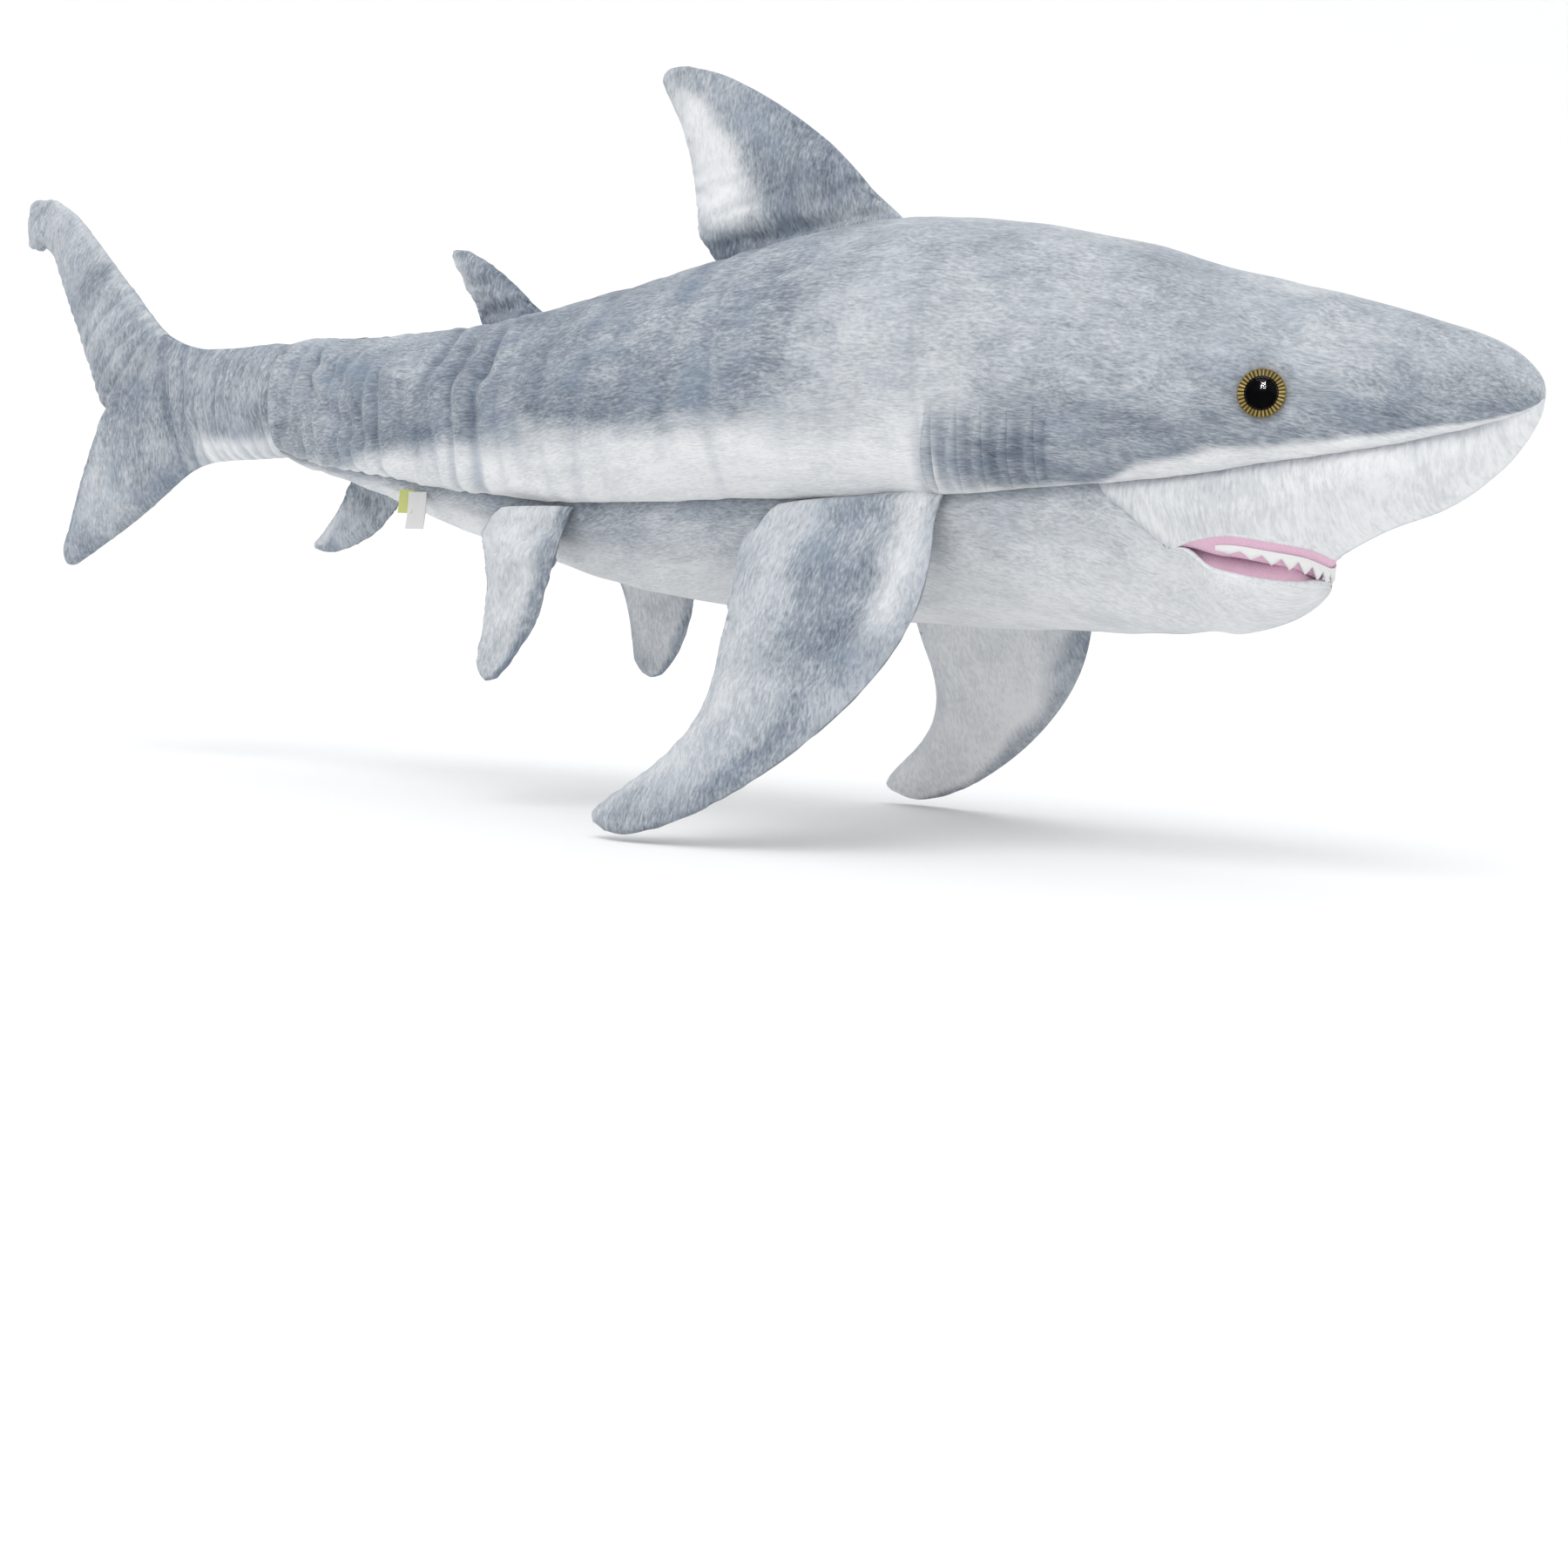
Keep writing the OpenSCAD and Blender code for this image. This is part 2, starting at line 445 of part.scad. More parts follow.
// ---- labels in the right belly seam ----
module hang_label(x, w, h, off) {
    q = station(x);
    stand() translate([x - w / 2, -q[3] - off - label_t, q[4] - 2 - h]) cube([w, label_t, h]);
}
module care_label() color([0.97, 0.97, 0.96]) hang_label(label_x, label_size[0], label_size[1], 1.6);
module size_tab() color([0.8, 0.83, 0.45]) hang_label(label_x - 9, tab_size[0], tab_size[1], 2.6);

// ---- fins: a row point in the fin's own plane is put in place by kind ----
function unit(v) = v / norm(v);
pec_e = unit(pec_rear - pec_root);
pec_s = let (d = [0, sin(pec_out), -cos(pec_out)]) unit(d - (d * pec_e) * pec_e);
pel_e = unit(pel_rear - pel_root);
pel_s = let (d = [-0.04, sin(pel_out), -cos(pel_out)]) unit(d - (d * pel_e) * pel_e);
fold_n = unit([fold_top[0] - fold_notch[0], 0, fold_top[1] - fold_notch[1]]);
fold_d = [-fold_n[2], 0, fold_n[0]];
function ease(s, reach) = s <= 0 ? 0 : 1 - exp(-s / reach);
function fold_tip(p) = let (a = tip_fold * ease(crease_x - p[0], 4), x = p[0] - crease_x)
    [crease_x + x * cos(a) + p[1] * sin(a), -x * sin(a) + p[1] * cos(a), p[2]];
function lean_lobe(p) = let (v = p - [fold_top[0], 0, fold_top[1]], s = v * fold_d, a = lobe_lean * ease(s, 20), h = v * fold_n)
    [fold_top[0], 0, fold_top[1]] + h * fold_n + (s * cos(a) - p[1] * sin(a)) * fold_d + [0, s * sin(a) + p[1] * cos(a), 0];
function yaw_tail(p) = let (x = p[0] - tail_seam_x, a = tail_yaw * ease(-x, 60))
    [tail_seam_x + x * cos(a) - p[1] * sin(a), x * sin(a) + p[1] * cos(a), p[2]];
function tail_pose(p) = yaw_tail(p[0] < crease_x ? lean_lobe(fold_tip(p)) : lean_lobe(p));
function put(kind, a, b, h) =
    kind == "pectoral" ? pec_root + a * pec_e + b * pec_s + h * cross(pec_s, pec_e)
    : kind == "pelvic" ? pel_root + a * pel_e + b * pel_s + h * cross(pel_s, pel_e)
    : kind == "tail" ? yaw_tail([a, h, b])
    : kind == "lobe" ? tail_pose([a, h, b])
    : [a, h, b];
fin_cols = 8;
function pillow(r, c, full) = max(edge_t, r[4] * pow(max(0, sin(180 * c)), full));
// side is 1 for the shark's left or outer face, -1 for the other
module fin_panel(kind, rows, side, full = 0.6) {
    function face(depth) = [for (r = rows) [for (j = [0:fin_cols]) let (c = j / fin_cols, h = pillow(r, c, full))
        put(kind, r[0] + (r[2] - r[0]) * c, r[1] + (r[3] - r[1]) * c,
            side * (depth == 0 ? h : max(gap / 2, h - depth)))]];
    stand() sheet(face(0), face(fin_t));
}
module fin_filling(kind, rows, full = 0.6) {
    n = 5;
    kept = [for (r = rows) if (r[4] > 5.1) r];
    function ring(r) = [for (s = [1, -1]) for (j = [0:n]) let (c = 0.19 + 0.62 * (s > 0 ? j : n - j) / n, h = pillow(r, c, full) - fin_t - gap)
        put(kind, r[0] + (r[2] - r[0]) * c, r[1] + (r[3] - r[1]) * c, s * max(h, 0.2))];
    color(fibre) stand() loft([for (r = kept) ring(r)]);
}

module dorsal_left_panel() color(grey) fin_panel("mid", dorsal_rows, 1);
module dorsal_right_panel() color(grey) fin_panel("mid", dorsal_rows, -1);
module dorsal_stuffing() fin_filling("mid", dorsal_rows);
module second_dorsal_left_panel() color(grey) fin_panel("mid", second_rows, 1);
module second_dorsal_right_panel() color(grey) fin_panel("mid", second_rows, -1);
module second_dorsal_stuffing() fin_filling("mid", second_rows);
module anal_left_panel() color(grey) fin_panel("mid", anal_rows, 1);
module anal_right_panel() color(grey) fin_panel("mid", anal_rows, -1);
module anal_stuffing() fin_filling("mid", anal_rows);
module left_pectoral_outer_panel() color(grey) fin_panel("pectoral", pec_rows, 1);
module left_pectoral_inner_panel() color(pale) fin_panel("pectoral", pec_rows, -1);
module left_pectoral_stuffing() fin_filling("pectoral", pec_rows);
module right_pectoral_outer_panel() mirror([0, 1, 0]) left_pectoral_outer_panel();
module right_pectoral_inner_panel() mirror([0, 1, 0]) left_pectoral_inner_panel();
module right_pectoral_stuffing() mirror([0, 1, 0]) left_pectoral_stuffing();
module left_pelvic_outer_panel() color(pale) fin_panel("pelvic", pel_rows, 1);
module left_pelvic_inner_panel() color(pale) fin_panel("pelvic", pel_rows, -1);
module left_pelvic_stuffing() fin_filling("pelvic", pel_rows);
module right_pelvic_outer_panel() mirror([0, 1, 0]) left_pelvic_outer_panel();
module right_pelvic_inner_panel() mirror([0, 1, 0]) left_pelvic_inner_panel();
module right_pelvic_stuffing() mirror([0, 1, 0]) left_pelvic_stuffing();
module tail_left_panel() color(grey) fin_panel("tail", tail_rows, 1, 0.55);
module tail_right_panel() color(grey) fin_panel("tail", tail_rows, -1, 0.55);
module tail_stuffing() fin_filling("tail", tail_rows, 0.55);
module upper_lobe_left_panel() color(grey) fin_panel("lobe", lobe_rows, 1);
module upper_lobe_right_panel() color(grey) fin_panel("lobe", lobe_rows, -1);
module upper_lobe_stuffing() fin_filling("lobe", lobe_rows);
module tail_tip_left_panel() color(grey) fin_panel("lobe", tip_rows, 1);
module tail_tip_right_panel() color(grey) fin_panel("lobe", tip_rows, -1);
module tail_tip_stuffing() fin_filling("lobe", tip_rows);

right_side_panel();
left_side_panel();
belly_panel();
snout_panel();
palate_lining();
teeth_strip();
right_gill_pleats();
left_gill_pleats();
body_stuffing();
right_eye_back();
right_eye_iris();
right_eye_pupil();
right_eye_lens();
right_eye_washer();
left_eye_back();
left_eye_iris();
left_eye_pupil();
left_eye_lens();
left_eye_washer();
care_label();
size_tab();
jaw_panel();
jaw_lining();
jaw_stuffing();
dorsal_right_panel();
dorsal_left_panel();
dorsal_stuffing();
second_dorsal_right_panel();
second_dorsal_left_panel();
second_dorsal_stuffing();
anal_right_panel();
anal_left_panel();
anal_stuffing();
right_pectoral_outer_panel();
right_pectoral_inner_panel();
right_pectoral_stuffing();
left_pectoral_outer_panel();
left_pectoral_inner_panel();
left_pectoral_stuffing();
right_pelvic_outer_panel();
right_pelvic_inner_panel();
right_pelvic_stuffing();
left_pelvic_outer_panel();
left_pelvic_inner_panel();
left_pelvic_stuffing();
tail_right_panel();
tail_left_panel();
tail_stuffing();
upper_lobe_right_panel();
upper_lobe_left_panel();
upper_lobe_stuffing();
tail_tip_right_panel();
tail_tip_left_panel();
tail_tip_stuffing();
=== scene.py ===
"""Plush shark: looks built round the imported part. Lengths in the shape tables are millimetres."""

import math

import bpy
import numpy as np
from mathutils import Matrix, Vector


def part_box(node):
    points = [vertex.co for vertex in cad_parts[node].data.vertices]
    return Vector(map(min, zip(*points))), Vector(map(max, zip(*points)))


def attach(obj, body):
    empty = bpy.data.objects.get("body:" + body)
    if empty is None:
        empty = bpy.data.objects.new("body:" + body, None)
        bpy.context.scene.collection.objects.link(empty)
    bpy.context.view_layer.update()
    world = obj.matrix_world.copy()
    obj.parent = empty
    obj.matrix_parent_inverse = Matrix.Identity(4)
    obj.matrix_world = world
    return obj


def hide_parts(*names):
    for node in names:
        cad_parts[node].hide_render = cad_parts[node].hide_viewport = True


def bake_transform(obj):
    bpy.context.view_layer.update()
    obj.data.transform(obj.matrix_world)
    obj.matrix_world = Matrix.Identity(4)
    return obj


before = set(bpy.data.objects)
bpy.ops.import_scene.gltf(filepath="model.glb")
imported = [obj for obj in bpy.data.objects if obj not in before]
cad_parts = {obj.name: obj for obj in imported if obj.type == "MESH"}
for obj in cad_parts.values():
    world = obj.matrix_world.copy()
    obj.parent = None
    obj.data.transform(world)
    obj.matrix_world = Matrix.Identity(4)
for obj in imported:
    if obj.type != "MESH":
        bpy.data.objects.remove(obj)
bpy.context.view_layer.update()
scene = bpy.context.scene

# ---- where the drawing frame of the tables sits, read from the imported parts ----
NOSE_X = 500.0
EYE_Z = -3.0
TAIL_SEAM_X = -269.0
MM = 0.001
lens_low, lens_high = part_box("right_eye_lens")
ORIGIN = np.array([
    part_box("left_side_panel")[1].x / MM - NOSE_X,
    0.0,
    (lens_low.z + lens_high.z) / 2 / MM - EYE_Z,
])
rng = np.random.default_rng(seed=11)


def link_object(name, data):
    """New object in the scene."""
    made = bpy.data.objects.new(name, data)
    scene.collection.objects.link(made)
    return made


# ---- camera ----
def make_camera():
    """Camera at the photograph's angle, a little above the floor and off the right side of the nose."""
    azimuth, elevation, roll = math.radians(33.0), math.radians(5.0), math.radians(2.2)
    target = (np.array([93.8, 18.4, -207.6]) + ORIGIN) * MM
    distance = 1.289
    back = np.array([
        math.sin(azimuth) * math.cos(elevation),
        -math.cos(azimuth) * math.cos(elevation),
        math.sin(elevation),
    ])
    right = np.cross(-back, [0, 0, 1])
    right /= np.linalg.norm(right)
    up = np.cross(right, -back)
    across = math.cos(roll) * right + math.sin(roll) * up
    above = -math.sin(roll) * right + math.cos(roll) * up
    data = bpy.data.cameras.new("camera")
    data.lens = 53.5
    data.sensor_width = 36.0
    camera = link_object("camera", data)
    place = target + distance * back
    camera.matrix_world = Matrix([*zip(across, above, back, place, strict=True), (0, 0, 0, 1)])
    scene.camera = camera


# ---- curves and noise ----
def along(keys, table, s):
    """Smooth curve through a table's rows, at the parameters s."""
    keys, table = np.asarray(keys, float), np.asarray(table, float)
    last = len(keys) - 1
    before = np.maximum(np.arange(last + 1) - 1, 0)
    after = np.minimum(np.arange(last + 1) + 1, last)
    slope = (table[after] - table[before]) / (keys[after] - keys[before])[:, None]
    s = np.clip(s, keys[0], keys[-1])
    i = np.clip(np.searchsorted(keys, s) - 1, 0, last - 1)
    h = (keys[i + 1] - keys[i])[..., None]
    u = (s - keys[i])[..., None] / h
    return (
        (2 * u**3 - 3 * u**2 + 1) * table[i]
        + (u**3 - 2 * u**2 + u) * h * slope[i]
        + (3 * u**2 - 2 * u**3) * table[i + 1]
        + (u**3 - u**2) * h * slope[i + 1]
    )


def smooth(x, low, high):
    """0 below low, 1 above high, with soft ends."""
    t = np.clip((np.asarray(x, float) - low) / (high - low), 0, 1)
    return t * t * (3 - 2 * t)


def side_of(way):
    """1 on the left side, -1 on the right, for columns that are counted from the middle."""
    return np.where(way < 0, -1.0, 1.0)


def crossed(rows, cols):
    """Grids of the row value and the column value."""
    return np.meshgrid(rows, cols, indexing="ij")


def circle(count):
    """Angles once round, as many as count."""
    return np.linspace(0, 2 * np.pi, count, endpoint=False)


def bell(x, width):
    """1 at 0, falling to nothing a few widths away."""
    return np.exp(-(x / width) ** 2)


def fade(x, low, high):
    """1 below low, 0 above high, with soft ends."""
    return 1 - smooth(x, low, high)


LATTICE_SIZE = 32
LATTICE = rng.random((LATTICE_SIZE,) * 3) * 2 - 1


def noise(p, size, seed=0.0):
    """Smooth noise from -1 to 1 over points p, with bumps about size across."""
    q = np.asarray(p, float) / size + seed
    i = np.floor(q).astype(int)
    f = q - i
    f = f * f * (3 - 2 * f)
    total = 0.0
    for corner in np.ndindex(2, 2, 2):
        share = np.where(corner, f, 1 - f)
        x, y, z = np.moveaxis((i + corner) % LATTICE_SIZE, -1, 0)
        total = total + share[..., 0] * share[..., 1] * share[..., 2] * LATTICE[x, y, z]
    return total


def noise_at(x, y, z, seed):
    """Noise over three coordinates that are counted in bumps."""
    return noise(np.stack(np.broadcast_arrays(x, y, z), -1), 1.0, seed)


# ---- trunk ----
# columns: x, top, widest half width, its height, seam half width, seam height, underside, fullness below
BODY = np.array([
    [500, 2.5, 2.5, 0, 2, -3, -5, 2],
    [496, 11, 9, -1, 7, -8, -17, 2],
    [485, 21, 17, -1, 13, -13, -32, 2],
    [460, 35, 28, -1, 23, -20, -51, 1.9],
    [430, 46, 40, -1, 34, -27, -63, 1.8],
    [405, 53, 48, -1, 41, -32, -78, 1.7],
    [385, 58, 53, -1, 46, -35, -97, 1.6],
    [365, 63, 58, -2, 50, -39, -107, 1.5],
    [342, 69, 63, -2, 54, -42, -113, 1.5],
    [310, 79, 70, -3, 59, -46, -114, 1.8],
    [250, 91, 79, -4, 64, -52, -114, 2.2],
    [170, 97, 85, -5, 66, -55, -114, 2.4],
    [80, 84, 82, -7, 64, -58, -113, 2.4],
    [0, 67, 72, -8, 59, -61, -103, 2.4],
    [-80, 53, 58, -7, 47, -57, -82, 2.4],
    [-160, 46, 45, -4, 33, -48, -61, 2.3],
    [-220, 44, 34, -1, 24, -38, -46, 2.2],
    [-269, 41, 26, 2, 16, -28, -33, 2.1],
])
TOP, HALF, HALF_Z, SEAM, SEAM_Z, UNDER, FULL = range(7)  # the columns after x
BODY_LEN = NOSE_X - TAIL_SEAM_X
CROWN = 2.15  # fullness above the widest line
MOUTH_X, LIP_X, LIP_HALF, LIP_POW = 342.0, 410.0, 42.5, 2.4  # where the fur ends over the mouth
MOUTH_LEN = LIP_X - MOUTH_X
THROAT_SLANT = 34.0  # how far back the snout cloth reaches at the side seam
EYE_X, EYE_Y, EYE_R, EYE_TURN = 388.0, 50.6, 11.0, 15.6
DOME_HIGH, DOME_BACK = 4.6, 2.7
EYE_REACH = 40  # how far from the eye its hollow can be
NOSE_TIP = np.array([NOSE_X + 0.6, 0, -2.0])
NEAR = 1e-6


def body_key(x):
    """Parameter along the trunk, slow at the blunt nose."""
    return np.sqrt(np.maximum(0, NOSE_X - np.asarray(x, float)) / BODY_LEN)


BODY_KEYS = body_key(BODY[:, 0])


def station(x):
    """The trunk table's row at x."""
    return along(BODY_KEYS, BODY[:, 1:], body_key(x))


def section(x, a):
    """Plain skin point on the left side. a runs 0 at the back, 2 at the side seam, 3 at the belly line."""
    x, a = np.broadcast_arrays(np.asarray(x, float), np.asarray(a, float))
    top, half, half_z, seam, seam_z, under, full = np.moveaxis(station(x), -1, 0)
    upper, middle, lower = (np.pi / 2 * np.clip(a - k, 0, 1) for k in range(3))
    y = np.select([a <= 1, a <= 2], [
        half * np.sin(upper) ** (2 / CROWN),
        half + (seam - half) * (1 - np.cos(middle)),
    ], seam * np.cos(lower).clip(0) ** (2 / full))
    z = np.select([a <= 1, a <= 2], [
        half_z + (top - half_z) * np.cos(upper).clip(0) ** (2 / CROWN),
        half_z + (seam_z - half_z) * np.sin(middle),
    ], seam_z + (under - seam_z) * np.sin(lower) ** (2 / full))
    return np.stack([x, y, z], -1)


# rows of the trunk grid: closer at the nose, then one for each ROW_STEP
ROW_STEP = 6.0
HEAD_LEN = 60.0
HEAD_ROWS = 20
BACK_COLS, BELLY_COLS = 28, 16
LAST_COL = BACK_COLS + BELLY_COLS


def row_x(r):
    """Place along the trunk of a row."""
    r = np.asarray(r, float)
    head = NOSE_X - HEAD_LEN * (np.minimum(r, HEAD_ROWS) / HEAD_ROWS) ** 2
    return head - ROW_STEP * np.maximum(0, r - HEAD_ROWS)


def x_row(x):
    """Row at a place along the trunk."""
    x = np.asarray(x, float)
    head = HEAD_ROWS * np.sqrt(np.clip((NOSE_X - x) / HEAD_LEN, 0, 1))
    return head + np.maximum(0, NOSE_X - HEAD_LEN - x) / ROW_STEP


LAST_ROW = float(x_row(TAIL_SEAM_X))


def col_way(c):
    """Way round the section for a column."""
    c = np.abs(np.asarray(c, float))
    return np.where(c <= BACK_COLS, 2 * c / BACK_COLS, 2 + (c - BACK_COLS) / BELLY_COLS)


def way_col(a):
    """Column for a way round the section."""
    return np.where(a <= 2, a * BACK_COLS / 2, BACK_COLS + (a - 2) * BELLY_COLS)


def cubic(grid, u, v):
    """Samples a grid of vectors at row u and column v, smoothly."""
    def taps(t, n):
        t = np.clip(t, 0, n - 1.0)
        i = np.minimum(np.floor(t).astype(int), n - 2)
        f = t - i
        weights = (
            -0.5 * f**3 + f**2 - 0.5 * f,
            1.5 * f**3 - 2.5 * f**2 + 1,
            -1.5 * f**3 + 2 * f**2 + 0.5 * f,
            0.5 * f**3 - 0.5 * f**2,
        )
        return [(np.clip(i + k - 1, 0, n - 1), w) for k, w in enumerate(weights)]
    u, v = np.broadcast_arrays(u, v)
    total = 0.0
    for i, wi in taps(u, grid.shape[0]):
        for j, wj in taps(v, grid.shape[1]):
            total = total + (wi * wj)[..., None] * grid[i, j]
    return total


# ---- meshes ----
def add_mesh(name, points, faces, attributes=None):
    """Smooth mesh object from millimetre points in the drawing frame."""
    mesh = bpy.data.meshes.new(name)
    mesh.from_pydata((np.asarray(points) + ORIGIN) * MM, [], faces)
    for key, values in (attributes or {}).items():
        values = np.asarray(values, np.float32)
        kind = "FLOAT" if values.ndim == 1 else "FLOAT_VECTOR"
        layer = mesh.attributes.new(key, kind, "POINT")
        layer.data.foreach_set("value" if values.ndim == 1 else "vector", values.ravel())
    mesh.polygons.foreach_set("use_smooth", [True] * len(mesh.polygons))
    mesh.update()
    return link_object(name, mesh)


def grid_faces(rows, cols, wrap=False, start=0, keep=None, turn=False):
    """Four-sided faces of a grid of points; wrap joins its last column to the first."""
    faces = []
    for i in range(rows - 1):
        for j in range(cols if wrap else cols - 1):
            if keep is not None and not keep(i, j):
                continue
            k = (j + 1) % cols
            here, below = start + i * cols, start + (i + 1) * cols
            face = [here + j, here + k, below + k, below + j]
            faces.append(face[::-1] if turn else face)
    return faces


def ring_face(row, ring, turn=False):
    """One face that closes a wrapped grid at one of its rows."""
    face = list(range(row * ring, (row + 1) * ring))
    return face[::-1] if turn else face


def closed_faces(rows, ring):
    """Faces of a wrapped grid that is closed at both ends."""
    return grid_faces(rows, ring, wrap=True) + [ring_face(0, ring, turn=True), ring_face(rows - 1, ring)]


# ---- cloth simulation ----
CLOTH = {
    "quality": 4,
    "mass": 0.3,
    "tension_stiffness": 18,
    "compression_stiffness": 18,
    "shear_stiffness": 8,
    "bending_stiffness": 0.4,
    "use_pressure": True,
    "vertex_group_mass": "pin",
    "pin_stiffness": 1.0,
    "vertex_group_shrink": "gather",
    "shrink_min": 0.0,
    "shrink_max": 0.12,
}


def inflate(points, faces, pinned, gathered, pressure, cap, frames=18):
    """Blows a closed cloth up with pressure. Returns each point's move in millimetres, at most cap."""
    cloth_object = add_mesh("cloth_trial", points, faces)
    for name, weights in (("pin", pinned.ravel()), ("gather", gathered.ravel())):
        group = cloth_object.vertex_groups.new(name=name)
        for i in np.nonzero(weights > 0)[0]:
            group.add([int(i)], float(weights[i]), "REPLACE")
    cloth = cloth_object.modifiers.new("cloth", "CLOTH")
    for key, value in CLOTH.items():
        setattr(cloth.settings, key, value)
    cloth.settings.uniform_pressure_force = pressure
    cloth.settings.effector_weights.gravity = 0
    scene.frame_start, scene.frame_end = 1, frames
    for number in range(1, frames + 1):
        scene.frame_set(number)
    shown = cloth_object.evaluated_get(bpy.context.evaluated_depsgraph_get())
    moved = np.zeros(len(shown.data.vertices) * 3, np.float32)
    shown.data.vertices.foreach_get("co", moved)
    move = moved.reshape(-1, 3) / MM - ORIGIN - points
    scene.frame_set(1)
    mesh = cloth_object.data
    bpy.data.objects.remove(cloth_object)
    bpy.data.meshes.remove(mesh)
    far = np.linalg.norm(move, axis=1, keepdims=True)
    return move * np.minimum(1, cap / np.maximum(far, 1e-6))


def trunk_swelling():
    """How the filled trunk swells between its seams, over the trunk grid."""
    rows = np.arange(0, int(LAST_ROW) + 1)
    cols = np.arange(-LAST_COL, LAST_COL + 1)
    move = np.zeros((len(rows), len(cols), 3))
    r, c = crossed(rows, cols[:-1])
    x, a = row_x(r), col_way(c)
    points = section(x, a)
    points[..., 1] *= np.sign(c)
    seam = bell(a - 2, 0.03)
    ends = 1 - smooth(r, 1, 6) * fade(r, LAST_ROW - 5, LAST_ROW - 1)
    mouth = smooth(a, 2.1, 2.3) * smooth(x, 325, 345)
    eye = fade(np.hypot(x - EYE_X, points[..., 2] - EYE_Z), EYE_R + 2, EYE_R + 14)
    eye = eye * (a < 2)
    pinned = np.maximum.reduce([ends, mouth, 0.35 * seam, eye])
    gathered = np.maximum(seam, bell(a, 0.08) * 0.4)
    faces = closed_faces(*r.shape)
    got = inflate(points.reshape(-1, 3), faces, pinned, gathered, pressure=2.0, cap=5.0)
    move[:, :-1] = got.reshape(points.shape)
    move[:, -1] = move[:, 0]
    return move


def fold_list(count, low, high, depth, width):
    """Random cross folds of the side cloth: place, lean, phase, ends round the section, depth and width."""
    places = np.linspace(low, high, count) + rng.uniform(-0.3, 0.3, count) * (high - low) / count
    return [
        (
            place,
            rng.uniform(-6, 6),
            rng.uniform(0, 6),
            rng.uniform(0.0, 0.7),
            rng.uniform(1.3, 2.1),
            rng.uniform(0.45, 1.0) * depth,
            rng.uniform(0.7, 1.4) * width,
        )
        for place in places
    ]


FOLD_SETS = (
    (17, -258, -50, 2.5, 4.0),
    (9, -254, -60, 1.0, 2.0),
    (12, -40, 218, 0.9, 5.0),
)
SIDE_FOLDS = {side: [fold for one in FOLD_SETS for fold in fold_list(*one)] for side in (-1, 1)}
GILL_X, GILL_PITCH, GILL_COUNT, GILL_HALF, GILL_BOW = 231.0, 13.0, 5, 5.2, 2.5
TAIL_TAPER = 60.0
swelling = trunk_swelling()


def fold_shape(off, wide, rim):
    """A groove with a raised rim on both sides."""
    return bell(off, wide) - rim * bell(np.abs(off) - 2 * wide, wide)


def side_fold_depth(x, a, side):
    """Depth of the cross folds, the same for points and for the shade in the folds."""
    total = np.zeros_like(x)
    for one, folds in SIDE_FOLDS.items():
        mine = side * one > 0
        for place, lean, phase, first, last, deep, wide in folds:
            off = x - place - lean * (a - 1) - 2.5 * np.sin(2.6 * a + phase)
            reach = smooth(a, first - 0.4, first + 0.3) * fade(a, last - 0.35, last + 0.1)
            total = total + np.where(mine, deep * fold_shape(off, wide, 0.5) * reach, 0)
    return total


def gill_depth(x, a):
    """Depth of the tucked cloth in front of and behind each gill ridge."""
    reach = smooth(a, 1.0, 1.25) * fade(a, 1.8, 1.97)
    total = np.zeros_like(x)
    for g in range(GILL_COUNT):
        off = x - (GILL_X + GILL_PITCH * g) + GILL_BOW * np.sin(np.pi * np.clip((a - 1) / 0.9, 0, 1))
        total = total + 2.0 * bell(off - GILL_HALF, 2.0) * reach
        total = total + 1.2 * bell(off + GILL_HALF, 2.2) * reach
    return total


def behind_nose(x):
    """0 at the tip of the nose, 1 behind it, where the cloth is slack enough to fold."""
    return smooth(x, NOSE_X, NOSE_X - 30)


def side_girth(x):
    """Half width of the trunk, at least a few millimetres."""
    return np.maximum(station(x)[..., HALF], 6)


def side_seam_far(x, a):
    """Distance round the section from the side seam."""
    return (a - 2) * side_girth(x) * 0.8


def seam_depth(x, a):
    """Depth of the grooves along the side seams, the back and the slanting throat seam."""
    slack = behind_nose(x)
    back_far = a * side_girth(x) * 1.2
    total = 2.6 * bell(side_seam_far(x, a), 2.2) * slack * smooth(x, TAIL_SEAM_X, TAIL_SEAM_X + 30)
    total = total + 0.6 * bell(back_far, 2.5) * slack
    slanted = (a > 2) & (a < CORNER_WAY)
    return total + np.where(slanted, 1.5 * bell(x - throat_x(a), 2.4), 0)


def crease(x, a, side):
    """Shade in folds and seams, 0 to 1."""
    depth = side_fold_depth(x, a, side) / 2.6 + gill_depth(x, a) / 3.2 + seam_depth(x, a) / 5.0
    return np.clip(depth, 0, 1)


